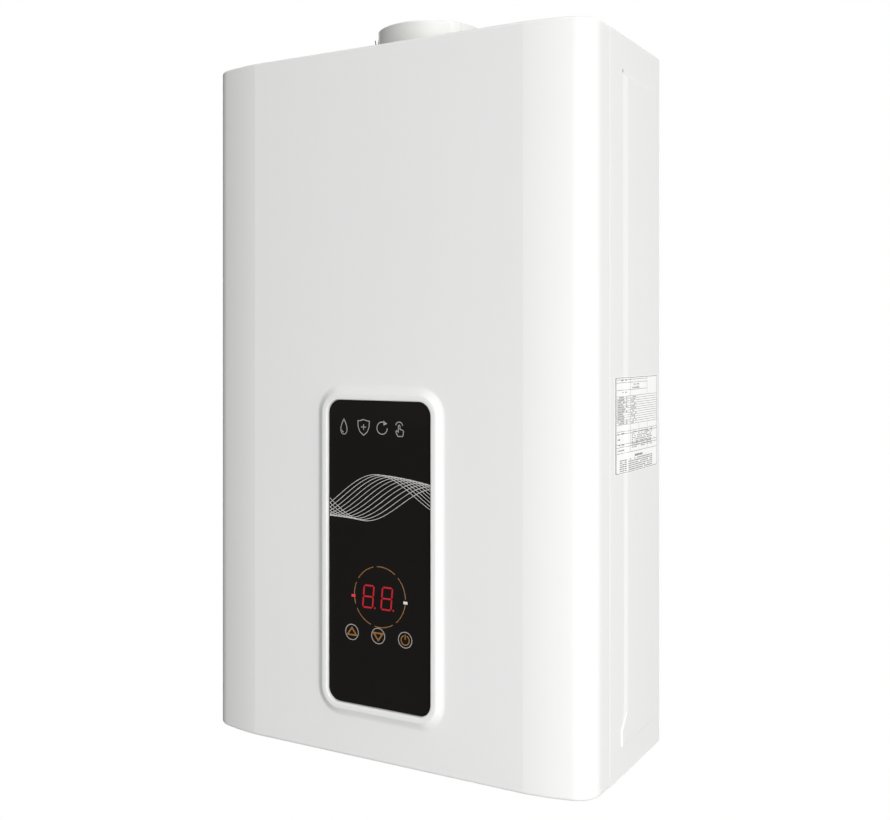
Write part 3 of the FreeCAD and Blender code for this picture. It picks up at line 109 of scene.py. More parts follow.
image_width = 890
horizon_above_middle = 65
focal_pixels = 1104
camera_data = bpy.data.cameras.new("camera")
camera_data.sensor_width = 36.0
camera_data.lens = camera_data.sensor_width * focal_pixels / image_width
camera_data.shift_y = -horizon_above_middle / image_width
camera = place_object("camera", camera_data)
camera.location = (0.4859, -0.9079, 0.0469)
camera.rotation_euler = (math.radians(90), 0, math.radians(29.61))
bpy.context.scene.camera = camera
bpy.context.scene.view_settings.view_transform = "Standard"

for name, place, aim, size, power in (
    ("right light", (2.15, -0.54, -0.3), (0.0, -0.08, -0.03), 1.3, 9),
    ("front light", (1.41, -2.02, -0.25), (0.0, -0.08, -0.03), 1.3, 36.5),
    ("top light", (0.3, -0.7, 2.3), (0.0, -0.08, 0.0), 1.6, 12),
    ("back light", (-1.4, 1.9, 0.4), (0.0, 0.0, 0.0), 1.6, 24),
):
    light_data = bpy.data.lights.new(name, "AREA")
    light_data.size = size
    light_data.energy = power
    light = place_object(name, light_data)
    light.location = place
    light.rotation_euler = (Vector(aim) - Vector(place)).to_track_quat("-Z", "Y").to_euler()

world = bpy.data.worlds.new("studio")
bpy.context.scene.world = world
world.use_nodes = True
sky = world.node_tree
sky.nodes.clear()
direction = add_node(sky, "ShaderNodeTexCoord").outputs["Generated"]
across = add_node(sky, "ShaderNodeSeparateXYZ", direction).outputs["X"]
fall_off = add_node(sky, "ShaderNodeMapRange", across, From_Min=-1.0, From_Max=1.0, To_Min=0.0, To_Max=0.9)
room = add_node(sky, "ShaderNodeBackground", Color=(1, 1, 0.985, 1), Strength=fall_off)
backdrop = add_node(sky, "ShaderNodeBackground", Color=(1, 1, 1, 1))
white_for_camera(sky, room, backdrop, add_node(sky, "ShaderNodeOutputWorld"))

floor_height = -1.0
floor_half = 12.0
floor_corners = [(x * floor_half, y * floor_half, floor_height)
                 for x, y in ((-1, -1), (1, -1), (1, 1), (-1, 1))]
floor_mesh = bpy.data.meshes.new("floor")
floor_mesh.from_pydata(floor_corners, [], [(0, 1, 2, 3)])
floor_paint = bpy.data.materials.new("floor paint")
floor_paint.use_nodes = True
paint = floor_paint.node_tree
floor_shader = feed(paint, paint.nodes["Principled BSDF"], Base_Color=(0.15, 0.15, 0.15, 1), Roughness=0.9)
white_for_camera(paint, floor_shader, add_node(paint, "ShaderNodeEmission"), paint.nodes["Material Output"])
floor_mesh.materials.append(floor_paint)
place_object("floor", floor_mesh)


# Rear casing.
# Back and sides are one bent sheet of 1 mm steel with a shallow pressed panel in each side, stoved in white
# enamel. The closing plates above and below are of the same sheet, spot-welded in.
def empty_group(name, kind, inputs, outputs):
    """A node group, the sockets of its named inputs, and its end; an input's value gives its kind."""
    tree = bpy.data.node_groups.new(name, kind)
    for label, value in inputs.items():
        if isinstance(value, tuple):
            socket_kind = "Vector" if len(value) == 3 else "Color"
        else:
            socket_kind = {bool: "Bool", int: "Int", float: "Float"}.get(type(value), "Material")
        socket = tree.interface.new_socket(label, in_out="INPUT", socket_type="NodeSocket" + socket_kind)
        if value is not None:
            socket.default_value = value
    for label, socket_kind in outputs.items():
        tree.interface.new_socket(label, in_out="OUTPUT", socket_type="NodeSocket" + socket_kind)
    start = tree.nodes.new("NodeGroupInput")
    return tree, start.outputs, tree.nodes.new("NodeGroupOutput")


def calculate(tree, operation, *values):
    """A math node on numbers and links."""
    return add_node(tree, "ShaderNodeMath", *values, settings={"operation": operation})


surface_outputs = {"Color": "Color", "Roughness": "Float", "Normal": "Vector"}


def make_finish_group():
    """Two tones in soft patches, with a stretched grain in the roughness and in the relief."""
    grey = (0.5, 0.5, 0.5, 1)
    tree, given, end = empty_group(
        "finish", "ShaderNodeTree",
        {"Place": (0, 0, 0), "Tone": grey, "Patch Tone": grey, "Patch Scale": 20.0, "Patch Amount": 0.5,
         "Grain": (900, 900, 900), "Smooth": 0.3, "Rough": 0.4, "Relief": 0.1, "Relief Depth": 0.1 * mm},
        surface_outputs)
    patches = add_node(tree, "ShaderNodeTexNoise", given["Place"], Scale=given["Patch Scale"], Detail=4.0,
                       Roughness=0.6)
    contrast = add_node(tree, "ShaderNodeMapRange", patches, From_Min=0.35, From_Max=0.65)
    amount = calculate(tree, "MULTIPLY", contrast, given["Patch Amount"])
    tones = add_node(tree, "ShaderNodeMix", settings={"data_type": "RGBA"}, Factor=amount, A=given["Tone"],
                     B=given["Patch Tone"])
    stretched = add_node(tree, "ShaderNodeVectorMath", given["Place"], given["Grain"],
                         settings={"operation": "MULTIPLY"})
    grain = add_node(tree, "ShaderNodeTexNoise", stretched, Scale=1.0, Detail=3.0, Roughness=0.55)
    shine = add_node(tree, "ShaderNodeMapRange", grain, From_Min=0.3, From_Max=0.7, To_Min=given["Smooth"],
                     To_Max=given["Rough"])
    relief = add_node(tree, "ShaderNodeBump", Strength=given["Relief"], Distance=given["Relief Depth"],
                      Height=grain)
    feed(tree, end, Color=tones.outputs["Result"], Roughness=shine, Normal=relief)
    return tree


def new_material(name, group, on_shader, **in_group):
    """A Principled material whose colour, roughness and normal come from a group on Object coordinates."""
    material = bpy.data.materials.new(name + " finish")
    material.use_nodes = True
    tree = material.node_tree
    place = add_node(tree, "ShaderNodeTexCoord").outputs["Object"]
    look = add_node(tree, "ShaderNodeGroup", settings={"node_tree": group}, Place=place, **in_group).outputs
    feed(tree, tree.nodes["Principled BSDF"], Base_Color=look["Color"], Roughness=look["Roughness"],
         Normal=look["Normal"], **on_shader)
    return material


finish_group = make_finish_group()


def make_material(name, tone, patch_tone, smooth, rough, metallic=0.0, patch_scale=20.0, patch_amount=0.5,
                  grain=900, relief=0.1, depth=0.02, coat=0.0, coat_roughness=0.1, specular=0.5):
    """A finish in two tones. Its relief's depth is in mm; its grain is per metre, or per metre by axis."""
    return new_material(
        name, finish_group,
        {"Metallic": metallic, "Coat Weight": coat, "Coat Roughness": coat_roughness,
         "Specular IOR Level": specular},
        Tone=(*tone, 1), Patch_Tone=(*patch_tone, 1), Patch_Scale=patch_scale, Patch_Amount=patch_amount,
        Grain=grain if isinstance(grain, tuple) else (grain, grain, grain), Smooth=smooth, Rough=rough,
        Relief=relief, Relief_Depth=depth * mm)


crease_angle = math.radians(35)


def mark_creases(mesh, on_crease=None):
    """Marks the edges where two faces meet past the crease angle, and those whose ends pass the test."""
    form = bmesh.new()
    form.from_mesh(mesh)
    for edge in form.edges:
        bent = len(edge.link_faces) == 2 and edge.calc_face_angle(0.0) > crease_angle
        if bent or (on_crease and all(on_crease(vertex.co) for vertex in edge.verts)):
            edge.smooth = False
    form.to_mesh(mesh)
    form.free()


def make_piece(name, points, faces, material, on_crease=None, smooth=True):
    """A closed mesh object at the origin, its faces outwards and its creases marked."""
    same_point = 1e-6
    mesh = bpy.data.meshes.new(name)
    mesh.from_pydata([tuple(p) for p in points], [], faces)
    mesh.materials.append(material)
    form = bmesh.new()
    form.from_mesh(mesh)
    bmesh.ops.remove_doubles(form, verts=form.verts, dist=same_point)
    bmesh.ops.recalc_face_normals(form, faces=form.faces)
    for face in form.faces:
        face.smooth = smooth
    form.to_mesh(mesh)
    form.free()
    mark_creases(mesh, on_crease)
    return place_object(name, mesh)


def apply_modifiers(piece):
    """The piece's modifiers turned into its mesh."""
    graph = bpy.context.evaluated_depsgraph_get()
    mesh = bpy.data.meshes.new_from_object(piece.evaluated_get(graph))
    piece.modifiers.clear()
    piece.data = mesh
    return piece


def drop_normals(mesh):
    """Forgets the normals that the mesh came with, so that they follow its faces."""
    if "custom_normal" in mesh.attributes:
        mesh.attributes.remove(mesh.attributes["custom_normal"])


def joined_copy(node):
    """A node's mesh with its loose triangles joined and its flat faces made whole."""
    same_point, flat_angle = 2e-6, math.radians(0.6)
    form = bmesh.new()
    form.from_mesh(frame["nodes"][node].data)
    bmesh.ops.remove_doubles(form, verts=form.verts, dist=same_point)
    bmesh.ops.dissolve_limit(form, angle_limit=flat_angle, verts=form.verts, edges=form.edges)
    for face in form.faces:
        face.smooth = True
    mesh = bpy.data.meshes.new(node + "_finished")
    form.to_mesh(mesh)
    form.free()
    drop_normals(mesh)
    return place_object(node + "_finished", mesh)


def soften(piece, edge):
    """Sharp edges broken by a small round, with the flat faces kept flat."""
    sharp_angle = math.radians(32)
    bevel = piece.modifiers.new("broken edges", "BEVEL")
    bevel.width = edge
    bevel.segments = 2
    bevel.limit_method = "ANGLE"
    bevel.angle_limit = sharp_angle
    bevel.use_clamp_overlap = False
    bevel.harden_normals = True
    return apply_modifiers(piece)


def hand_over(piece, node, material):
    """The piece stands for the node: it has its body, and its slot has its material's name."""
    piece.data.materials.clear()
    piece.data.materials.append(material)
    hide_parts(node)
    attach(piece, frame["nodes"][node]["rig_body"])
    return piece


def finish_parts(*parts):
    """Parts of the frame, each given as its node, its material and the round of its edges in mm."""
    for node, material, edge in parts:
        hand_over(soften(joined_copy(node), edge * mm), node, material)


panel_step_start = -86.6 * mm
panel_step_end = -85.1 * mm
panel_ease = 5.5 * mm
side_out = 180.0 * mm
panel_out = 181.0 * mm


def ease_panel_step(piece):
    """The front step of the side panels drawn out to a gentler slope, with its two bends kept crisp."""
    near = 0.2 * mm
    for vertex in piece.data.vertices:
        if abs(vertex.co.x) > panel_out - near and abs(vertex.co.y - panel_step_end) < near:
            vertex.co.y += panel_ease
    for edge in piece.data.edges:
        ends = [piece.data.vertices[index].co for index in edge.vertices]
        for bend in (panel_step_start, panel_step_end + panel_ease):
            if all(abs(end.y - bend) < near / 2 and abs(end.x) > side_out - near / 2 for end in ends):
                edge.use_edge_sharp = True
    return piece


def drill_sides(piece):
    """The tooling hole near the top of each side of the casing."""
    hole_y, hole_z, hole_radius = -87.5 * mm, 261.4 * mm, 1.6 * mm
    form = bmesh.new()
    turned = Matrix.Translation((0, hole_y, hole_z)) @ Matrix.Rotation(math.radians(90), 4, "Y")
    bmesh.ops.create_cone(form, cap_ends=True, segments=20, radius1=hole_radius, radius2=hole_radius,
                          depth=2.2 * side_out, matrix=turned)
    drill = place_object("drill", bpy.data.meshes.new("drill"))
    form.to_mesh(drill.data)
    form.free()
    cut = piece.modifiers.new("side holes", "BOOLEAN")
    cut.operation = "DIFFERENCE"
    cut.object = drill
    apply_modifiers(piece)
    bpy.data.objects.remove(drill)
    return piece


def flatten_faces(piece):
    """Every face shaded flat, as on bent sheet."""
    drop_normals(piece.data)
    for face in piece.data.polygons:
        face.use_smooth = False
    return piece


white_enamel = make_material("white enamel", (0.86, 0.868, 0.86), (0.84, 0.848, 0.84), 0.5, 0.58,
                             patch_scale=5.0, patch_amount=0.4, grain=420, relief=0.2, depth=0.015,
                             specular=0.25)
casing = drill_sides(soften(ease_panel_step(joined_copy("rear_casing")), 0.35 * mm))
hand_over(flatten_faces(casing), "rear_casing", white_enamel)
finish_parts(("top_plate", white_enamel, 0.25), ("bottom_plate", white_enamel, 0.25))


# Flue collar.
# A strip of bright aluminised steel rolled into a tube that takes the flue pipe. Its ends lap in a flat
# seam, seen as a slight step and a fine gap, and its top edge is rounded over.
collar_sheet = make_material("collar sheet", (0.91, 0.91, 0.89), (0.87, 0.87, 0.85), 0.3, 0.42,
                             metallic=0.35, patch_scale=14.0, patch_amount=0.4, grain=(160, 160, 2600),
                             relief=0.15)
collar_y = -77.8 * mm
collar_bore = 45.3 * mm
collar_outer = 46.1 * mm
collar_foot = 260 * mm
collar_top = 316.4 * mm
collar_flange_out = 9 * mm
flange_sheet = 1 * mm
lap_start = math.radians(-39)
lap_span = math.radians(12)
lap_raise = 0.55 * mm
lap_rise = math.radians(1.2)
lap_gap = math.radians(1)
lap_gap_depth = 0.7 * mm
hair = math.radians(0.02)


def collar_steps():
    """Angles round the collar, each with how far the sheet stands out: a soft rise, the lap, then a gap."""
    lap_end = lap_start + lap_span
    steps = [(lap_start - lap_rise, 0.0), (lap_start, lap_raise), (lap_start + lap_span / 2, lap_raise),
             (lap_end, lap_raise), (lap_end + hair, -lap_gap_depth), (lap_end + lap_gap, -lap_gap_depth)]
    first = lap_end + lap_gap + hair
    rest = math.tau - lap_rise - lap_span - lap_gap - hair
    count = 118
    return steps + [(first + rest * step / count, 0.0) for step in range(count)]


def make_collar():
    """The collar's wall section, swept round its axis; the last number is its share of the lap's step."""
    lip, lip_steps = (collar_outer - collar_bore) / 2, 6
    section = [(collar_bore, collar_foot, 0), (collar_bore, collar_top - lip, 0)]
    for step in range(1, lip_steps):
        angle = math.pi - math.pi * step / lip_steps
        section.append((collar_bore + lip + lip * math.cos(angle),
                        collar_top - lip + lip * math.sin(angle), 0.5))
    section += [(collar_outer, collar_top - lip, 1), (collar_outer, collar_foot + flange_sheet, 1),
                (collar_outer + collar_flange_out, collar_foot + flange_sheet, 0),
                (collar_outer + collar_flange_out, collar_foot, 0)]
    steps = collar_steps()
    points, faces = [], []
    for index, (angle, stand) in enumerate(steps):
        for row, (radius, z, share) in enumerate(section):
            reach = radius + stand * share
            points.append((reach * math.cos(angle), collar_y + reach * math.sin(angle), z))
            here, after = index * len(section), (index + 1) % len(steps) * len(section)
            up = (row + 1) % len(section)
            faces.append((here + row, after + row, after + up, here + up))
    return points, faces


hand_over(make_piece("flue_collar_rolled", *make_collar(), collar_sheet), "flue_collar", collar_sheet)


# Draught hood, baffle and inner brackets.
# Folded from galvanised steel sheet, with the flowered zinc left bare. The hood gathers the flue gas below
# the collar, and the baffle keeps a down draught off the burner.
def make_spangle_group():
    """Flowered zinc: cells of slightly different tone and roughness."""
    wander_reach = (0.006, 0.006, 0.006)
    tree, given, end = empty_group(
        "spangle", "ShaderNodeTree",
        {"Place": (0, 0, 0), "Size": 90.0, "Dark": (0.5, 0.5, 0.5, 1), "Light": (0.7, 0.7, 0.7, 1),
         "Smooth": 0.3, "Rough": 0.5},
        surface_outputs)
    wander = add_node(tree, "ShaderNodeTexNoise", given["Place"], Scale=60.0, Detail=2.0).outputs["Color"]
    bend = add_node(tree, "ShaderNodeVectorMath", wander, wander_reach, given["Place"],
                    settings={"operation": "MULTIPLY_ADD"})
    cells = add_node(tree, "ShaderNodeTexVoronoi", bend, Scale=given["Size"]).outputs
    tone = add_node(tree, "ShaderNodeSeparateColor", cells["Color"]).outputs
    colours = add_node(tree, "ShaderNodeMix", settings={"data_type": "RGBA"}, Factor=tone["Red"],
                       A=given["Dark"], B=given["Light"])
    shine = add_node(tree, "ShaderNodeMapRange", tone["Green"], To_Min=given["Smooth"], To_Max=given["Rough"])
    edges = add_node(tree, "ShaderNodeBump", Strength=0.2, Distance=0.03 * mm, Height=cells["Distance"])
    feed(tree, end, Color=colours.outputs["Result"], Roughness=shine, Normal=edges)
    return tree


galvanised_sheet = new_material(
    "galvanised sheet", make_spangle_group(), {"Metallic": 0.9}, Dark=(0.48, 0.50, 0.52, 1),
    Light=(0.68, 0.70, 0.71, 1), Smooth=0.28, Rough=0.5)
finish_parts(("draught_hood", galvanised_sheet, 0.2), ("draught_baffle", galvanised_sheet, 0.2),
             ("chassis_brackets", galvanised_sheet, 0.2))


# Collar clip.
# A small bent strip of blued spring steel stands beside the collar. It springs against the flue pipe and
# holds it.
clip_angle = math.radians(209)
clip_foot = 290.1 * mm
clip_rise = 21.5 * mm
clip_half_width = 2.6 * mm
clip_narrowing = 0.25
clip_lean = 1.6 * mm
clip_sheet = 0.8 * mm
clip_gap = 0.2 * mm
clip_out = Vector((math.cos(clip_angle), math.sin(clip_angle), 0))
clip_along = Vector((-clip_out.y, clip_out.x, 0))
clip_points = []
for share in (0.0, 0.35, 0.7, 1.0):
    away = collar_outer + clip_gap + clip_lean * share ** 2
    for side, thick in ((-1, 0.0), (1, 0.0), (1, clip_sheet), (-1, clip_sheet)):
        clip_points.append(Vector((0, collar_y, clip_foot + clip_rise * share)) + clip_out * (away + thick)
                          + clip_along * side * clip_half_width * (1 - clip_narrowing * share))
clip_faces = [(3, 2, 1, 0), (12, 13, 14, 15)]
for level in range(3):
    for side in range(4):
        a, b = level * 4 + side, level * 4 + (side + 1) % 4
        clip_faces.append((a, b, b + 4, a + 4))
blued_steel = make_material("blued steel", (0.13, 0.13, 0.14), (0.09, 0.09, 0.10), 0.35, 0.5, metallic=0.7,
                            patch_scale=60.0)
clip = make_piece("collar_clip", clip_points, clip_faces, blued_steel)
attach(clip, "casing")


# Heat exchanger and thermostats.
# A copper chamber with a pack of copper fins above it. One copper tube winds round the chamber and then
# passes five times through the fins. Both thermostats are plated steel discs with spade terminals.
copper = make_material("copper", (0.74, 0.36, 0.22), (0.48, 0.20, 0.13), 0.24, 0.42, metallic=1.0,
                       patch_scale=26.0, patch_amount=0.7, grain=700, depth=0.03)
zinc_steel = make_material("zinc steel", (0.66, 0.67, 0.68), (0.58, 0.57, 0.52), 0.24, 0.38, metallic=1.0,
                           patch_scale=40.0, grain=1200)
finish_parts(("exchanger_shell", copper, 0.2), ("exchanger_fins", copper, 0.08),
             ("heated_tube", copper, 0.15), ("overheat_thermostat", zinc_steel, 0.15),
             ("spill_thermostat", zinc_steel, 0.15))


# Burner.
# A galvanised frame holds twelve pressed stainless bars with flame slots. The electrodes are steel wires in
# glazed ceramic sleeves on a small plate, with silicone leads to the spark unit.
stainless_steel = make_material("stainless steel", (0.60, 0.59, 0.57), (0.50, 0.47, 0.42), 0.26, 0.44,
                                metallic=1.0, patch_scale=30.0, grain=(90, 90, 2400), relief=0.12,
                                depth=0.03)
ceramic = make_material("ceramic", (0.86, 0.85, 0.80), (0.80, 0.78, 0.72), 0.18, 0.28, patch_scale=60.0,
                        grain=500, coat=0.5, coat_roughness=0.08)
lead_sleeve = make_material("lead sleeve", (0.55, 0.075, 0.05), (0.48, 0.06, 0.045), 0.42, 0.55,
                            patch_scale=80.0, depth=0.03)
finish_parts(("burner_frame", galvanised_sheet, 0.2), ("burner_bars", stainless_steel, 0.12),
             ("electrode_plate", galvanised_sheet, 0.15), ("electrode_ceramics", ceramic, 0.3),
             ("electrode_wires", stainless_steel, 0.1), ("ignition_leads", lead_sleeve, 0.1))


# Gas side.
# A cast aluminium manifold with brass nozzles, and a cast valve with two solenoids. Each solenoid lifts a
# plunger with a rubber disc against its spring. A plated pipe joins valve and manifold.
cast_aluminium = make_material("cast aluminium", (0.58, 0.59, 0.60), (0.50, 0.51, 0.52), 0.42, 0.6,
                               metallic=0.9, patch_scale=50.0, grain=1100, relief=0.5, depth=0.12)
brass = make_material("brass", (0.74, 0.53, 0.22), (0.62, 0.42, 0.17), 0.22, 0.36, metallic=1.0,
                      patch_scale=45.0, depth=0.03)
black_plastic = make_material("black plastic", (0.022, 0.022, 0.024), (0.03, 0.03, 0.032), 0.4, 0.55,
                              patch_scale=60.0, grain=2600, relief=0.35, depth=0.06)
rubber = make_material("rubber", (0.028, 0.028, 0.028), (0.045, 0.044, 0.042), 0.6, 0.78, patch_scale=90.0,
                       grain=1500, relief=0.3, depth=0.05)
finish_parts(("gas_manifold", cast_aluminium, 0.4), ("gas_nozzles", brass, 0.1),
             ("gas_valve_body", cast_aluminium, 0.5), ("gas_pipe", zinc_steel, 0.12))
for stage, lift in (("shutoff", 3.0 * mm), ("modulating", 2.5 * mm)):
    finish_parts((stage + "_solenoid", black_plastic, 0.3), (stage + "_plunger", zinc_steel, 0.15),
                 (stage + "_disc", rubber, 0.15))
    low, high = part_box(stage + "_spring")
    spring = hand_over(joined_copy(stage + "_spring"), stage + "_spring", zinc_steel)
    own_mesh(spring)


# Connections below the casing.
# Turned brass stubs with G 1/2 threads for gas, cold water and hot water. The thread is cut as one helical
# ridge that fades out at both ends; the stubs keep the frame's hexagons and bosses.
def geometry_tree(name, inputs):
    """An empty geometry tree, the sockets that bring its sizes and its finish, and its end."""
    return empty_group(name, "GeometryNodeTree", {**inputs, "Finish": None}, {"Geometry": "Geometry"})


def close_tree(tree, given, end, last):
    """Realizes the last node's geometry and gives it its material."""
    real = add_node(tree, "GeometryNodeRealizeInstances", last)
    feed(tree, end, Geometry=add_node(tree, "GeometryNodeSetMaterial", real, Material=given["Finish"]))
    return tree


def sweep_upright(tree, curve, profile):
    """The profile swept along the curve, upright all the way."""
    upright = add_node(tree, "GeometryNodeSetCurveNormal", curve, settings={"mode": "Z_UP"})
    return add_node(tree, "GeometryNodeCurveToMesh", Curve=upright, Profile_Curve=profile, Fill_Caps=True)


def run_tree(tree, name, material, **values):
    """The tree's result as a plain mesh object with its material."""
    piece = place_object(name, bpy.data.meshes.new(name))
    modifier = piece.modifiers.new(tree.name, "NODES")
    modifier.node_group = tree
    values["finish"] = material
    for item in tree.interface.items_tree:
        label = item.name.replace(" ", "_").lower()
        if item.in_out == "INPUT" and label in values:
            modifier[item.identifier] = values[label]
    return apply_modifiers(piece)


def make_thread_tree():
    """A trapezoid ridge swept along a helix, thinner towards both ends."""
    root_share, crest_share = 0.92, 0.16
    fade_rate, least_share = 14.0, 0.15
    tree, given, end = geometry_tree(
        "thread", {"Radius": 0.01, "Pitch": 0.0018, "Turns": 9.0, "Depth": 0.001, "Foot": (0, 0, 0)})
    helix = add_node(tree, "GeometryNodeCurveSpiral", Resolution=44, Rotations=given["Turns"],
                     Start_Radius=given["Radius"], End_Radius=given["Radius"], Reverse=False,
                     Height=calculate(tree, "MULTIPLY", given["Pitch"], given["Turns"]))
    along = add_node(tree, "GeometryNodeSplineParameter")
    to_end = calculate(tree, "MINIMUM", along, calculate(tree, "SUBTRACT", 1.0, along))
    fade = calculate(tree, "MINIMUM", calculate(tree, "MULTIPLY_ADD", to_end, fade_rate, least_share), 1.0)
    taper = add_node(tree, "GeometryNodeSetCurveRadius", helix, Radius=fade)
    ridge = add_node(tree, "GeometryNodeCurvePrimitiveQuadrilateral", settings={"mode": "TRAPEZOID"},
                     Bottom_Width=calculate(tree, "MULTIPLY", given["Pitch"], root_share), Offset=0.0,
                     Top_Width=calculate(tree, "MULTIPLY", given["Pitch"], crest_share),
                     Height=given["Depth"])
    thread = sweep_upright(tree, taper, ridge)
    placed = add_node(tree, "GeometryNodeTransform", thread, Translation=given["Foot"])
    return close_tree(tree, given, end, placed)


thread_crest = 10.48 * mm
thread_root = 9.35 * mm
thread_depth = thread_crest - thread_root
thread_sunk = 0.05 * mm
thread_pitch = 1.814 * mm
thread_turns = 9.2
thread_foot = -309.3 * mm
stub_relief = -292 * mm
stub_y = -85 * mm


def turn_down(piece, x):
    """The stub's threaded length brought down to the thread's root."""
    near = 0.2 * mm
    for vertex in piece.data.vertices:
        away = Vector((vertex.co.x - x, vertex.co.y - stub_y))
        if vertex.co.z < stub_relief + near / 2 and abs(away.length - thread_crest) < near:
            away *= thread_root / away.length
            vertex.co.x, vertex.co.y = x + away.x, stub_y + away.y
    return piece


thread_tree = make_thread_tree()
for node, x in (("gas_inlet", 0.0), ("cold_inlet", 125 * mm), ("hot_outlet", -125 * mm)):
    hand_over(soften(turn_down(joined_copy(node), x), 0.25 * mm), node, brass)
    thread = run_tree(thread_tree, node + "_thread", brass, pitch=thread_pitch, turns=thread_turns,
                      radius=thread_root + thread_depth / 2 - thread_sunk, depth=thread_depth,
                      foot=(x, stub_y, thread_foot))
    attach(thread, "casing")


# Water side.
# Copper pipes with brass union nuts, a turbine flow sensor with its plastic cage and rotor, a strainer cup
# in the cold connection, a drain plug with a fluted grip, and a temperature probe at the outlet.
grey_plastic = make_material("grey plastic", (0.36, 0.37, 0.38), (0.32, 0.33, 0.34), 0.42, 0.56,
                             patch_scale=50.0, grain=2400, relief=0.35, depth=0.06)
rotor_plastic = make_material("rotor plastic", (0.78, 0.78, 0.74), (0.70, 0.70, 0.66), 0.35, 0.48,
                              patch_scale=80.0, grain=1800, relief=0.2, depth=0.04)
finish_parts(("cold_pipe", copper, 0.1), ("hot_pipe", copper, 0.1), ("pipe_unions", brass, 0.3),
             ("flow_sensor_body", brass, 0.3), ("turbine_cage", grey_plastic, 0.1),
             ("turbine_shaft", stainless_steel, 0.1), ("flow_turbine", rotor_plastic, 0.1),
             ("hall_sensor", black_plastic, 0.2), ("inlet_filter", stainless_steel, 0.08),
             ("drain_plug", grey_plastic, 0.3), ("outlet_thermistor", zinc_steel, 0.15))


# Electronics.
# A grey moulded control box with its lid and board on a galvanised bracket, a potted spark unit, and the
# cable gland in the bottom plate. The leads are silicone.
green_board = make_material("green board", (0.02, 0.16, 0.06), (0.03, 0.22, 0.09), 0.3, 0.42,
                            patch_scale=300.0, patch_amount=1.0, grain=1400, relief=0.3, depth=0.04)
finish_parts(("control_bracket", galvanised_sheet, 0.2), ("control_box", grey_plastic, 0.4),
             ("control_board", green_board, 0.2), ("control_lid", grey_plastic, 0.35),
             ("spark_unit", black_plastic, 0.5), ("cable_gland", grey_plastic, 0.3),
             ("display_lead", lead_sleeve, 0.0))


# Front cover.
# One pressed sheet of 1 mm steel in white stoved enamel: a flat front with shoulders that fall back to
# round corners, and a soft raised surround round the control window. It hooks on at the top and has two
# screws below.
half_width = 180 * mm
half_height = 290 * mm
front = -160 * mm
seam = -116 * mm
flange_end = -130 * mm
flat_half = 128 * mm
shoulder = math.radians(9.2)
shoulder_bow = math.radians(5.2)
corner = 21 * mm
flange_half = half_width - 16 * mm
hem = 2.2 * mm
sheet = 1.0 * mm
window_half_x = 49 * mm
window_half_z = 123.75 * mm
window_radius = 11 * mm
window_z = -half_height + 44.3 * mm + window_half_z
surround_raise = 3.5 * mm
surround_edge = 1.2 * mm
rim_out = 5.8 * mm
slope_out = rim_out + 0.2 * mm
slope_raise = surround_raise - 0.55 * mm
slope_power = 1.4
foot_out = 11.8 * mm
opening_out = 0.3 * mm
return_depth = 3.0 * mm
border_out = 18 * mm
support = 0.6 * mm
window_arc_steps = 14
window_side_steps = 6


def heading(angle):
    """The direction at an angle, in the plane of the plan."""
    return Vector((math.cos(angle), math.sin(angle)))


def cover_plan(inset):
    """Right half of the cover's plan, from the crease round the corner to the seam, moved in by inset.

    The shoulder falls back in a slight bow between the crease and the corner.
    """
    radius = corner - inset
    crease = Vector((flat_half - inset * math.tan(shoulder / 2), front + inset))
    centre_x = half_width - corner
    run = (centre_x - crease.x + radius * math.sin(shoulder)) / math.cos(shoulder)
    centre = Vector((centre_x, crease.y + run * math.sin(shoulder) + radius * math.cos(shoulder)))
    bow_end = shoulder + shoulder_bow - math.pi / 2
    chord = centre + heading(bow_end) * radius - crease
    outward = Vector((chord.y, -chord.x)).normalized()
    rise = chord.length * math.tan(shoulder_bow)
    bow_steps, corner_steps = 16, 20
    plan = [crease]
    for share in (step / bow_steps for step in range(1, bow_steps)):
        plan.append(crease + chord * share + outward * rise * share * (1 - share))
    for step in range(corner_steps + 1):
        plan.append(centre + heading(bow_end * (1 - step / corner_steps)) * radius)
    return plan + [Vector((half_width - inset, centre.y + support)), Vector((half_width - inset, seam))]


def window_outline(out, square=False):
    """Points round the window, moved out, anticlockwise from the front, or round its box if square."""
    middle_x, middle_z = window_half_x - window_radius, window_half_z - window_radius
    radius = window_radius + out
    signs = ((1, 1), (-1, 1), (-1, -1), (1, -1))
    points = []
    for quarter, (sign_x, sign_z) in enumerate(signs):
        for step in range(window_arc_steps + 1):
            way = heading(math.pi / 2 * (quarter + step / window_arc_steps))
            reach = radius / max(abs(way.x), abs(way.y)) if square else radius
            points.append(Vector((sign_x * middle_x, sign_z * middle_z)) + way * reach)
        next_x, next_z = signs[(quarter + 1) % 4]
        last, goal = points[-1], Vector((next_x * middle_x, next_z * middle_z)) + way * radius
        points += [last.lerp(goal, step / window_side_steps) for step in range(1, window_side_steps)]
    return points


def surround_section():
    """How far out from the glass, and how far forward of the flat front, each ring of the surround lies."""
    edge_steps, slope_steps = 6, 14
    rings = [(opening_out, -return_depth), (opening_out, surround_raise - surround_edge)]
    for step in range(1, edge_steps + 1):
        way = heading(math.pi / 2 * step / edge_steps)
        rings.append((opening_out + surround_edge * (1 - way.x),
                      surround_raise - surround_edge * (1 - way.y)))
    for back, drop in ((1.3, 0.0), (0.7, 0.08), (0.2, 0.28)):
        rings.append((rim_out - back * mm, surround_raise - drop * mm))
    for share in (step / slope_steps for step in range(slope_steps + 1)):
        rings.append((slope_out + (foot_out - slope_out) * share, slope_raise * (1 - share) ** slope_power))
    return rings + [(foot_out + 1.0 * mm, 0.0)]


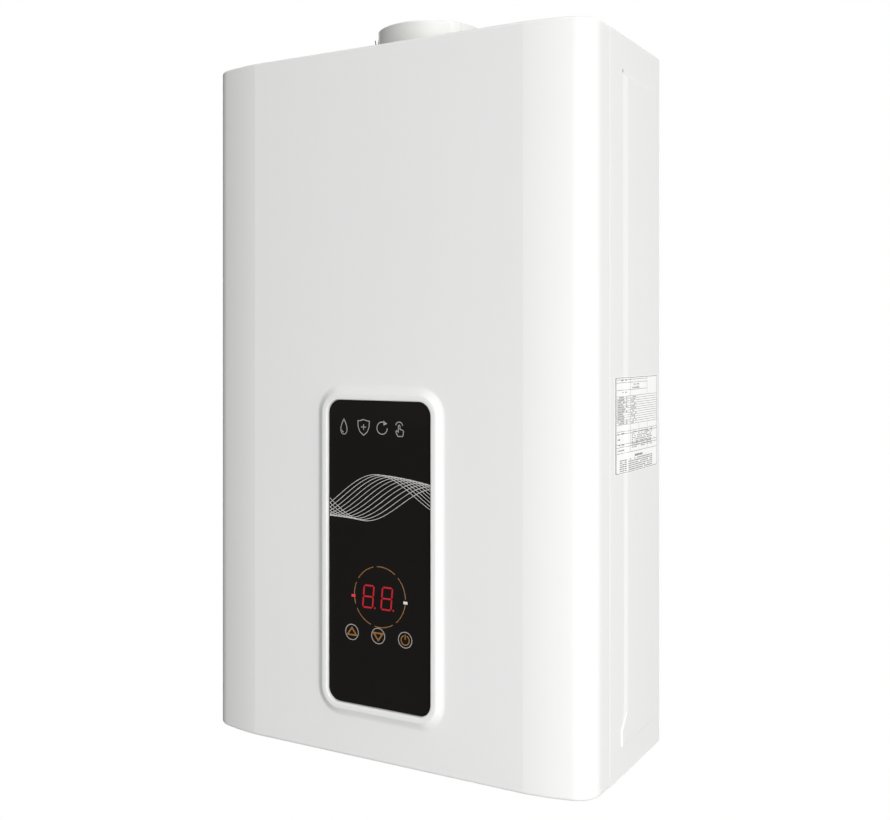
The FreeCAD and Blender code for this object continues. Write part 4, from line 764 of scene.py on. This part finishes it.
def make_cover():
    """Outer skin of the cover, with its edges turned in and its window open."""
    points, faces = [], []

    def add(ring):
        points.extend(ring)
        return list(range(len(points) - len(ring), len(points)))

    def strip(a, b, closed=False):
        for index in range(len(a) if closed else len(a) - 1):
            after = (index + 1) % len(a)
            faces.append((a[index], a[after], b[after], b[index]))

    hem_steps = 6
    levels = []
    for step in range(hem_steps + 1):
        way = heading(math.pi / 2 * step / hem_steps)
        levels.append((hem * (1 - way.y), half_height - hem * (1 - way.x)))
    levels.append((0.0, half_height - hem - support))
    rings = []
    for inset, z in levels + [(inset, -z) for inset, z in reversed(levels)]:
        plan = cover_plan(inset)
        rings.append((add([(-p.x, p.y, z) for p in reversed(plan)]), add([(p.x, p.y, z) for p in plan])))
    for index, ((left_a, right_a), (left_b, right_b)) in enumerate(zip(rings, rings[1:])):
        strip(left_a, left_b)
        strip(right_a, right_b)
        if index != len(levels) - 1:
            faces.append((left_a[-1], right_a[0], right_b[0], left_b[-1]))
    for (left, right), z in ((rings[0], half_height), (rings[-1], -half_height)):
        back = add([(flange_half, seam, z), (flange_half, flange_end, z), (-flange_half, flange_end, z),
                    (-flange_half, seam, z)])
        faces.append(right + back + left)

    window_rings = []
    for out, forward in surround_section():
        window_rings.append(add([(x, front - forward, window_z + z) for x, z in window_outline(out)]))
    border = add([(x, front, window_z + z) for x, z in window_outline(border_out, square=True)])
    window_rings.append(border)
    for a, b in zip(window_rings, window_rings[1:]):
        strip(a, b, closed=True)
    above, below = rings[len(levels) - 1], rings[len(levels)]
    corners = (above[1][0], above[0][-1], below[0][-1], below[1][0])
    quarter = len(border) // 4
    for side in range(4):
        first = window_arc_steps // 2 + side * quarter
        stretch = [border[index % len(border)] for index in range(first, first + quarter + 1)]
        faces.append([corners[(side + 1) % 4], corners[side]] + stretch)
    return points, faces


def on_crease(point):
    """True on the two upright creases between the flat front and the shoulders."""
    return abs(abs(point.x) - flat_half) < 0.2 * mm and abs(point.y - front) < 0.05 * mm


cover = make_piece("cover_skin", *make_cover(), white_enamel, on_crease)
thick = cover.modifiers.new("sheet", "SOLIDIFY")
thick.thickness = sheet
thick.offset = -1.0
thick.use_even_offset = True
apply_modifiers(cover)
mark_creases(cover.data)
hand_over(cover, "front_cover", white_enamel)


# Cover screws, display and glass.
# Two plated screws hold the cover below. Behind the glass a black housing carries the display board, the
# digits and the springs that sense the keys. The glass is 3 mm thick, ground at its edge and set in a rubber
# gasket.
display_plastic = make_material("display plastic", (0.03, 0.03, 0.03), (0.05, 0.045, 0.045), 0.25, 0.35,
                                patch_scale=90.0, grain=1500, depth=0.03)
black_glass = make_material("black glass", (0.0105, 0.009, 0.0088), (0.0125, 0.0105, 0.010), 0.05, 0.09,
                            patch_scale=12.0, grain=60, relief=0.04, specular=0.15)
finish_parts(("cover_screws", zinc_steel, 0.15), ("display_housing", black_plastic, 0.3),
             ("display_board", green_board, 0.1), ("display_digits", display_plastic, 0.3),
             ("touch_key_springs", zinc_steel, 0.08), ("glass_gasket", rubber, 0.15),
             ("control_glass", black_glass, 0.45))


# Prints on the glass.
# Screen-printed in pale grey, white and amber: four plain pictograms, a band of fine waves, a ring of
# dashes round the lit digits, and three key symbols. Every print is a film of ink just clear of the glass.
ink_front = -161.03 * mm
ink_back = -160.99 * mm
crossing_lift = 0.012 * mm
panel_foot = -290 * mm
least_mitre = 0.35
pale_ink = make_material("pale ink", (0.42, 0.41, 0.40), (0.34, 0.33, 0.32), 0.4, 0.5, patch_scale=200.0,
                         grain=3000, depth=0.01)
amber_ink = make_material("amber ink", (0.35, 0.165, 0.045), (0.27, 0.135, 0.045), 0.4, 0.5,
                          patch_scale=180.0, patch_amount=0.8, grain=3000, depth=0.01)
white_ink = make_material("white ink", (0.74, 0.73, 0.71), (0.62, 0.61, 0.59), 0.4, 0.5, patch_scale=200.0,
                          grain=3000, depth=0.01)


def left_of(way):
    """The way turned a quarter to the left."""
    return Vector((-way.y, way.x))


def print_on_glass(piece):
    """The piece belongs to the glass, which moves with the cover."""
    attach(piece, "cover")


class Ink:
    """Flat closed shapes of one ink, gathered for one piece; in mm, heights above the casing's foot."""

    def __init__(self, raised=0.0):
        self.points = []
        self.faces = []
        self.front = ink_front - raised

    def place(self, x, height, y):
        """Adds a point and gives its number."""
        self.points.append((x * mm, y, panel_foot + height * mm))
        return len(self.points) - 1

    def line(self, path, width, closed=False):
        """A line of even width along the path, with mitred corners."""
        path = [Vector(point) for point in path]
        count = len(path)
        rows = []
        for index, here in enumerate(path):
            before = path[index - 1] if index or closed else here
            after = path[(index + 1) % count] if index < count - 1 or closed else here
            ways = [way.normalized() for way in (here - before, after - here) if way.length]
            side = left_of(ways[0] + ways[-1]).normalized()
            reach = side * width / 2 / max(least_mitre, side.dot(left_of(ways[0])))
            rows.append([self.place(*(here + reach * way), y) for way, y in (
                (1, self.front), (-1, self.front), (-1, ink_back), (1, ink_back))])
        for index in range(count if closed else count - 1):
            a, b = rows[index], rows[(index + 1) % count]
            self.faces += [(a[side], a[side - 3], b[side - 3], b[side]) for side in range(4)]
        if not closed:
            self.faces += [tuple(rows[0]), tuple(reversed(rows[-1]))]

    def patch(self, outline):
        """A filled shape with the given outline."""
        ink_face = [self.place(x, z, self.front) for x, z in outline]
        back = [self.place(x, z, ink_back) for x, z in outline]
        self.faces += [tuple(ink_face), tuple(reversed(back))]
        for index in range(len(outline)):
            self.faces.append((ink_face[index - 1], back[index - 1], back[index], ink_face[index]))

    def piece(self, name, material):
        """One piece of all the shapes so far."""
        print_on_glass(make_piece(name, self.points, self.faces, material, smooth=False))


def arc(x, z, radius, start=0.0, sweep=360.0, steps=40):
    """Points on an arc, angles in degrees from the right, anticlockwise."""
    whole = abs(sweep) >= 360
    return [Vector((x, z)) + heading(math.radians(start + sweep * step / steps)) * radius
            for step in range(steps if whole else steps + 1)]


key_height = 102.4
key_left, key_middle, key_right = -26.0, -0.5, 25.0
key_ring, key_line, power_line = 6.25, 0.65, 0.85
arrow_half, arrow_tip, arrow_base, arrow_line = 4.4, 3.6, 2.2, 1.25
pale = Ink()
amber = Ink()
for x in (key_left, key_middle, key_right):
    pale.line(arc(x, key_height, key_ring, steps=48), key_line, closed=True)
for x, way in ((key_left, 1), (key_middle, -1)):
    amber.line([(x, key_height + way * arrow_tip), (x - way * arrow_half, key_height - way * arrow_base),
                (x + way * arrow_half, key_height - way * arrow_base)], arrow_line, closed=True)
amber.line(arc(key_right, key_height - 0.2, 3.8, 112, 316, steps=36), power_line)
amber.line([(key_right, key_height + 4.5), (key_right, key_height + 0.2)], power_line)

icon_height = 270.0
icon_line = 0.68
drop_x, shield_x, turn_x, touch_x = -34.0, -14.6, 3.2, 20.1


def draw_icon(x, path, closed=False):
    """A pale line through points that are given from the middle of its pictogram."""
    pale.line([(x + across, icon_height + up) for across, up in path], icon_line, closed)


drop_turns = [math.pi * step / 16 for step in range(32)]
draw_icon(drop_x, [(4.1 * math.sin(turn) * abs(math.sin(turn / 2)) ** 1.1, 6.2 * math.cos(turn))
                   for turn in drop_turns], closed=True)
pale.line(arc(drop_x, icon_height - 2.6, 1.9, 185, 80, steps=8), 0.6)
shield = [(0.0, 6.4), (3.0, 5.5), (5.6, 5.2), (5.3, 0.4), (3.6, -3.6), (0.0, -6.4)]
draw_icon(shield_x, shield + [(-across, up) for across, up in reversed(shield[1:-1])], closed=True)
draw_icon(shield_x, [(-2.3, 0.3), (2.3, 0.3)])
draw_icon(shield_x, [(0.0, -2.0), (0.0, 2.6)])
draw_icon(turn_x, arc(0, 0, 4.9, 60, 300, steps=30))
pale.patch([(turn_x + across, icon_height + up)
            for across, up in ((1.25, 6.14), (1.45, 2.14), (4.85, 3.64))])
draw_icon(touch_x, [(-2.0, -6.0), (-3.9, -2.5), (-3.1, -1.4), (-1.5, -2.6), (-1.5, 2.2), (-0.7, 3.1),
                    (0.1, 2.2), (0.1, -0.4), (2.6, -0.9), (3.5, -1.9), (3.1, -4.2), (2.5, -6.0)],
          closed=True)
draw_icon(touch_x, arc(-0.7, 2.2, 3.3, 10, 160, steps=14))
pale.piece("pale_prints", pale_ink)
amber.piece("amber_prints", amber_ink)


def print_lines(tree, given, end, curve):
    """Ink along the curves of the tree, stood upright on the glass."""
    profile = add_node(tree, "GeometryNodeCurvePrimitiveQuadrilateral", settings={"mode": "RECTANGLE"},
                       Width=given["Line Width"], Height=ink_back - ink_front)
    stand = add_node(tree, "GeometryNodeTransform", sweep_upright(tree, curve, profile),
                     Translation=given["Middle"], Rotation=(math.radians(90), 0, 0))
    return close_tree(tree, given, end, stand)


def copy_on_points(tree, **inputs):
    """Realized copies of one form on each point."""
    copies = add_node(tree, "GeometryNodeInstanceOnPoints", **inputs)
    return add_node(tree, "GeometryNodeRealizeInstances", copies)


def position_axes(tree):
    """The three numbers of a point's position."""
    return add_node(tree, "ShaderNodeSeparateXYZ", add_node(tree, "GeometryNodeInputPosition")).outputs


def move_points(tree, shape, *axes):
    """The shape with its points moved to the place that the three numbers give."""
    place = add_node(tree, "ShaderNodeCombineXYZ", *axes)
    return add_node(tree, "GeometryNodeSetPosition", shape, Position=place)


def make_ring_tree():
    """A ring of tapered dashes."""
    least_taper = 0.35
    tree, given, end = geometry_tree(
        "ring of dashes", {"Radius": 0.02, "Dashes": 8, "Dash Angle": 0.6, "First Angle": 0.0,
                           "Line Width": 0.001, "Middle": (0, 0, 0)})
    dash = add_node(tree, "GeometryNodeCurveArc", Resolution=20, Radius=given["Radius"],
                    Sweep_Angle=given["Dash Angle"])
    along = add_node(tree, "GeometryNodeSplineParameter")
    swell = calculate(tree, "SINE", calculate(tree, "MULTIPLY", along, math.pi))
    taper = add_node(tree, "GeometryNodeSetCurveRadius", dash,
                     Radius=calculate(tree, "MULTIPLY_ADD", swell, 1 - least_taper, least_taper))
    share = calculate(tree, "DIVIDE", add_node(tree, "GeometryNodeInputIndex"), given["Dashes"])
    angle = calculate(tree, "MULTIPLY_ADD", share, math.tau, given["First Angle"])
    turned = add_node(tree, "FunctionNodeEulerToRotation", add_node(tree, "ShaderNodeCombineXYZ", Z=angle))
    spots = add_node(tree, "GeometryNodePoints", Count=given["Dashes"])
    ring = copy_on_points(tree, Points=spots, Instance=taper, Rotation=turned)
    return print_lines(tree, given, end, ring)


def make_wave_tree():
    """Fine lines that cross the glass as a twisted band of waves, each a hair in front of the last."""
    wave_rate, twist, first_phase = 2.1, 1.3, 0.4
    tree, given, end = geometry_tree(
        "band of waves", {"Lines": 11, "Half Length": 0.05, "Swing": 0.01, "Spread": 0.01,
                          "Line Width": 0.001, "Middle": (0, 0, 0)})
    strand = add_node(tree, "GeometryNodeCurvePrimitiveLine", Start=(-1, 0, 0), End=(1, 0, 0))
    fine = add_node(tree, "GeometryNodeResampleCurve", strand, Count=90)
    last = calculate(tree, "SUBTRACT", given["Lines"], 1.0)
    share = calculate(tree, "DIVIDE", add_node(tree, "GeometryNodeInputIndex"), last)
    spot = add_node(tree, "ShaderNodeCombineXYZ", Y=calculate(tree, "MULTIPLY_ADD", share, 2.0, -1.0))
    spots = add_node(tree, "GeometryNodePoints", Count=given["Lines"], Position=spot)
    strands = copy_on_points(tree, Points=spots, Instance=fine)
    axes = position_axes(tree)
    x, y = axes["X"], axes["Y"]
    phase = calculate(tree, "MULTIPLY_ADD", y, twist, first_phase)
    swing = calculate(tree, "SINE", calculate(tree, "MULTIPLY_ADD", x, wave_rate, phase))
    fan = calculate(tree, "MULTIPLY", calculate(tree, "MULTIPLY_ADD", x, 0.5, 0.5), y)
    height = calculate(tree, "ADD", calculate(tree, "MULTIPLY", swing, given["Swing"]),
                       calculate(tree, "MULTIPLY", fan, given["Spread"]))
    waves = move_points(tree, strands, calculate(tree, "MULTIPLY", x, given["Half Length"]), height,
                        calculate(tree, "MULTIPLY", y, crossing_lift))
    return print_lines(tree, given, end, waves)


ink_middle = (ink_front + ink_back) / 2
print_on_glass(run_tree(
    make_ring_tree(), "ring_of_dashes", amber_ink, radius=24.4 * mm, dashes=7, line_width=0.68 * mm,
    dash_angle=math.radians(42.5), first_angle=math.radians(104.5),
    middle=(0.8 * mm, ink_middle, panel_foot + 133.8 * mm)))
print_on_glass(run_tree(
    make_wave_tree(), "band_of_waves", white_ink, lines=12, half_length=48.2 * mm, swing=17 * mm,
    spread=5 * mm, line_width=0.42 * mm, middle=(0, ink_middle, panel_foot + 213 * mm)))


# Lit digits and lamps.
# Seven-segment figures shine red through the glass, each with its point, beside a red lamp and a white lamp.
def make_glow(name, tone, edge_tone, strength):
    """A lit window: its colour also glows."""
    material = make_material(name, tone, edge_tone, 0.35, 0.45, patch_scale=500.0, patch_amount=0.6,
                             grain=2000, depth=0.01)
    tree = material.node_tree
    shader = tree.nodes["Principled BSDF"]
    feed(tree, shader, Emission_Color=shader.inputs["Base Color"].links[0].from_socket,
         Emission_Strength=strength)
    return material


digit_width = 10.8
digit_rise = 19.2
digit_foot = 123.6
digit_slant = math.tan(math.radians(5))
stroke = 1.4
stroke_gap = 0.3
point_radius = 0.8
point_out = 1.7
half_rise = (digit_rise - stroke) / 2


def segment(ink, x, z, along, length):
    """One segment with pointed ends, slanted as its digit is."""
    half = stroke / 2
    near, far = half + stroke_gap, length - half - stroke_gap
    outline = []
    for run, out in ((stroke_gap, 0), (near, half), (far, half), (length - stroke_gap, 0), (far, -half),
                     (near, -half)):
        spot = Vector((x, z)) + along * run + left_of(along) * out
        outline.append((spot.x + (spot.y - digit_foot) * digit_slant, spot.y))
    ink.patch(outline)


red = Ink()
for left in (-16.2, 1.4):
    x0, x1 = left + stroke / 2, left + digit_width - stroke / 2
    levels = [digit_foot + stroke / 2 + level * half_rise for level in range(3)]
    for z in levels:
        segment(red, x0, z, Vector((1, 0)), x1 - x0)
    for z in levels[:2]:
        segment(red, x0, z, Vector((0, 1)), half_rise)
        segment(red, x1, z, Vector((0, 1)), half_rise)
    red.patch(arc(left + digit_width + point_out, digit_foot + point_radius, point_radius, steps=14))
red.piece("lit_digits", make_glow("red_glow", (0.38, 0.011, 0.02), (0.43, 0.016, 0.026), 0.28))

lamp_half_x, lamp_half_z = 1.9, 1.1
lamp_raise = 0.03 * mm
lamp_edge_tone = 0.85
for name, x, height, tone, strength in (("red_lamp", -24.5, 132.4, (0.62, 0.04, 0.04), 0.35),
                                        ("white_lamp", 25.3, 131.9, (0.70, 0.70, 0.70), 0.2)):
    lamp = Ink(lamp_raise)
    lamp.patch([(x + way * lamp_half_x, height + up * lamp_half_z)
                for way, up in ((-1, -1), (1, -1), (1, 1), (-1, 1))])
    edge_tone = tuple(lamp_edge_tone * c for c in tone)
    lamp.piece(name, make_glow(name + "_glow", tone, edge_tone, strength))


# Rating label.
# A white film label pressed onto the side and over the edge of the raised panel. It has a dark margin, a
# ruled table and short grey strokes in place of words. Its sizes are in mm, from the wall and from the
# middle of the casing's height.
label_film = make_material("label film", (0.99, 0.995, 0.99), (0.97, 0.975, 0.97), 0.45, 0.55, grain=1500,
                           depth=0.01, specular=0.3)
label_ink = make_material("label ink", (0.11, 0.11, 0.11), (0.17, 0.17, 0.17), 0.45, 0.55, patch_scale=300.0,
                          grain=2500, depth=0.01)
label_print = make_material("label print", (0.22, 0.22, 0.22), (0.33, 0.33, 0.33), 0.45, 0.55,
                            patch_scale=300.0, grain=2500, depth=0.01)
label = ease_panel_step(joined_copy("rating_label"))
hand_over(soften(label, 0.05 * mm), "rating_label", label_film)
film = 0.25 * mm
label_ink_thickness = 0.04 * mm


def lay_on_label(tree, given, end, shape):
    """Moves the shape out onto the label's film, which climbs the panel's edge."""
    axes = position_axes(tree)
    climb = add_node(tree, "ShaderNodeMapRange", axes["Y"], From_Min=panel_step_start,
                     From_Max=panel_step_end + panel_ease, To_Min=side_out + film, To_Max=panel_out + film)
    marks = move_points(tree, shape, calculate(tree, "ADD", axes["X"], climb), axes["Y"], axes["Z"])
    return close_tree(tree, given, end, marks)


def make_rule_tree():
    """Evenly spaced rules, all of one length, up the label or along it."""
    cuts_along, cuts_up = 160.0, 2.0
    tree, given, end = geometry_tree(
        "rules", {"Rules": 2, "First": (0, 0, 0), "Step": (0, 0, 0), "Length": 0.01, "Line Width": 0.0003,
                  "Upright": False})
    up = given["Upright"]
    level = calculate(tree, "SUBTRACT", 1.0, up)
    sizes = [calculate(tree, "ADD", calculate(tree, "MULTIPLY", given["Length"], long),
                       calculate(tree, "MULTIPLY", given["Line Width"], short))
             for long, short in ((level, up), (up, level))]
    size = add_node(tree, "ShaderNodeCombineXYZ", label_ink_thickness, *sizes)
    bar = add_node(tree, "GeometryNodeMeshCube", size,
                   Vertices_Y=calculate(tree, "MULTIPLY_ADD", level, cuts_along - cuts_up, cuts_up))
    row = add_node(tree, "GeometryNodeMeshLine", Count=given["Rules"], Start_Location=given["First"],
                   Offset=given["Step"])
    return lay_on_label(tree, given, end, copy_on_points(tree, Points=row, Instance=bar))


def make_stroke_tree():
    """Rows of short strokes of uneven length, some left out, in place of words."""
    least_stretch, most_stretch = (1, 0.8, 0.9), (1, 1.1, 1.1)
    tree, given, end = geometry_tree(
        "strokes", {"Columns": 4, "Rows": 8, "Width": 0.02, "Height": 0.03, "Middle": (0, 0, 0),
                    "Stroke Length": 0.002, "Line Width": 0.0005, "Kept": 0.7, "Seed": 1})
    grid = add_node(tree, "GeometryNodeMeshGrid", Size_X=given["Width"], Size_Y=given["Height"],
                    Vertices_X=given["Columns"], Vertices_Y=given["Rows"])
    stand = add_node(tree, "GeometryNodeTransform", grid, Translation=given["Middle"],
                     Rotation=(math.radians(90), 0, math.radians(90)))
    chance = add_node(tree, "FunctionNodeRandomValue", settings={"data_type": "BOOLEAN"},
                      Probability=given["Kept"], Seed=given["Seed"])
    size = add_node(tree, "ShaderNodeCombineXYZ", label_ink_thickness, given["Stroke Length"],
                    given["Line Width"])
    stretch = add_node(tree, "FunctionNodeRandomValue", least_stretch, most_stretch,
                       settings={"data_type": "FLOAT_VECTOR"}, Seed=given["Seed"])
    strokes = copy_on_points(tree, Points=stand, Selection=chance.outputs["Value"],
                             Instance=add_node(tree, "GeometryNodeMeshCube", size),
                             Scale=stretch.outputs["Value"])
    return lay_on_label(tree, given, end, strokes)


rule_tree = make_rule_tree()
stroke_tree = make_stroke_tree()
label_front, label_back, label_low, label_high = -105.0, -10.0, -54.0, 22.0
margin, edge_inset = 1.8, 0.8
table_front, table_back = label_front + 3.0, label_back - 1.0
first_column, last_column = label_front + 31, label_back - 25
frame_low, frame_high = label_low + edge_inset, label_high - edge_inset
table_low, rows_low, middle_low = -37.8, -15.5, -22.7
marks = []
for name, count, height, step, front_end, back_end, width in (
    ("label_border", 2, frame_low, frame_high - frame_low, label_front + 0.4, table_back, 0.4),
    ("label_head_rows", 2, 17.4, 2.3, table_front, last_column, 0.3),
    ("label_second_head", 1, 11.6, 0.0, table_front, last_column, 0.3),
    ("label_rows", 13, rows_low, 1.85, table_front, table_back, 0.26),
    ("label_middle_rows", 2, middle_low, 1.9, table_front, table_back, 0.3),
    ("label_lower_rows", 2, -33.0, 2.2, table_front, table_back, 0.3),
    ("label_last_row", 1, table_low, 0.0, table_front, table_back, 0.3),
):
    marks.append(run_tree(rule_tree, name, label_ink, rules=count, length=(back_end - front_end) * mm,
                          first=(0, (front_end + back_end) / 2 * mm, height * mm), step=(0, 0, step * mm),
                          line_width=width * mm, upright=False))
for name, y, low, high, width in (
    ("label_margin", label_front + margin / 2 + 0.3, label_low + 0.6, label_high - 0.6, margin),
    ("label_back_edge", table_back, frame_low, frame_high, 0.4),
    ("label_first_column", first_column, table_low, frame_high, 0.35),
    ("label_second_column", (first_column + last_column) / 2, middle_low, rows_low, 0.3),
    ("label_last_column", last_column, 6.7, frame_high, 0.35),
    ("label_foot_column", last_column, table_low, rows_low, 0.3),
):
    marks.append(run_tree(rule_tree, name, label_ink, rules=1, length=(high - low) * mm,
                          first=(0, y * mm, (low + high) / 2 * mm), step=(0, 0, 0), line_width=width * mm,
                          upright=True))
for name, columns, rows, middle_y, middle_z, width, rise, length, thickness, kept, seed in (
    ("label_names", 5, 12, label_front + 12, -4.4, 12, 20.35, 2.8, 0.75, 0.94, 3),
    ("label_name_ends", 3, 12, label_front + 23, -4.4, 6, 20.35, 2.6, 0.75, 0.5, 4),
    ("label_values", 4, 12, first_column + 7.5, -4.4, 9, 20.35, 2.4, 0.75, 0.6, 5),
    ("label_heads", 7, 2, label_front + 14, 14.5, 16, 9.5, 2.4, 1.0, 0.5, 8),
    ("label_types", 6, 2, first_column + 12, 14.3, 14, 2.6, 2.4, 0.9, 0.8, 9),
    ("label_lower_names", 5, 4, label_front + 12, -29, 12, 13, 2.6, 1.0, 0.5, 21),
    ("label_notes", 16, 9, first_column + 27, -28.4, 46, 12, 2.5, 0.75, 0.66, 11),
    ("label_heading", 5, 1, label_front + 50, -41.2, 15, 0.0, 3.4, 1.7, 1.0, 17),
    ("label_foot_lines", 22, 6, label_front + 46, -47.6, 70, 8.2, 2.9, 0.8, 0.9, 13),
):
    marks.append(run_tree(stroke_tree, name, label_print, columns=columns, rows=rows, width=width * mm,
                          height=rise * mm, middle=(0, middle_y * mm, middle_z * mm), kept=kept, seed=seed,
                          stroke_length=length * mm, line_width=thickness * mm))
for mark in marks:
    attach(mark, "casing")
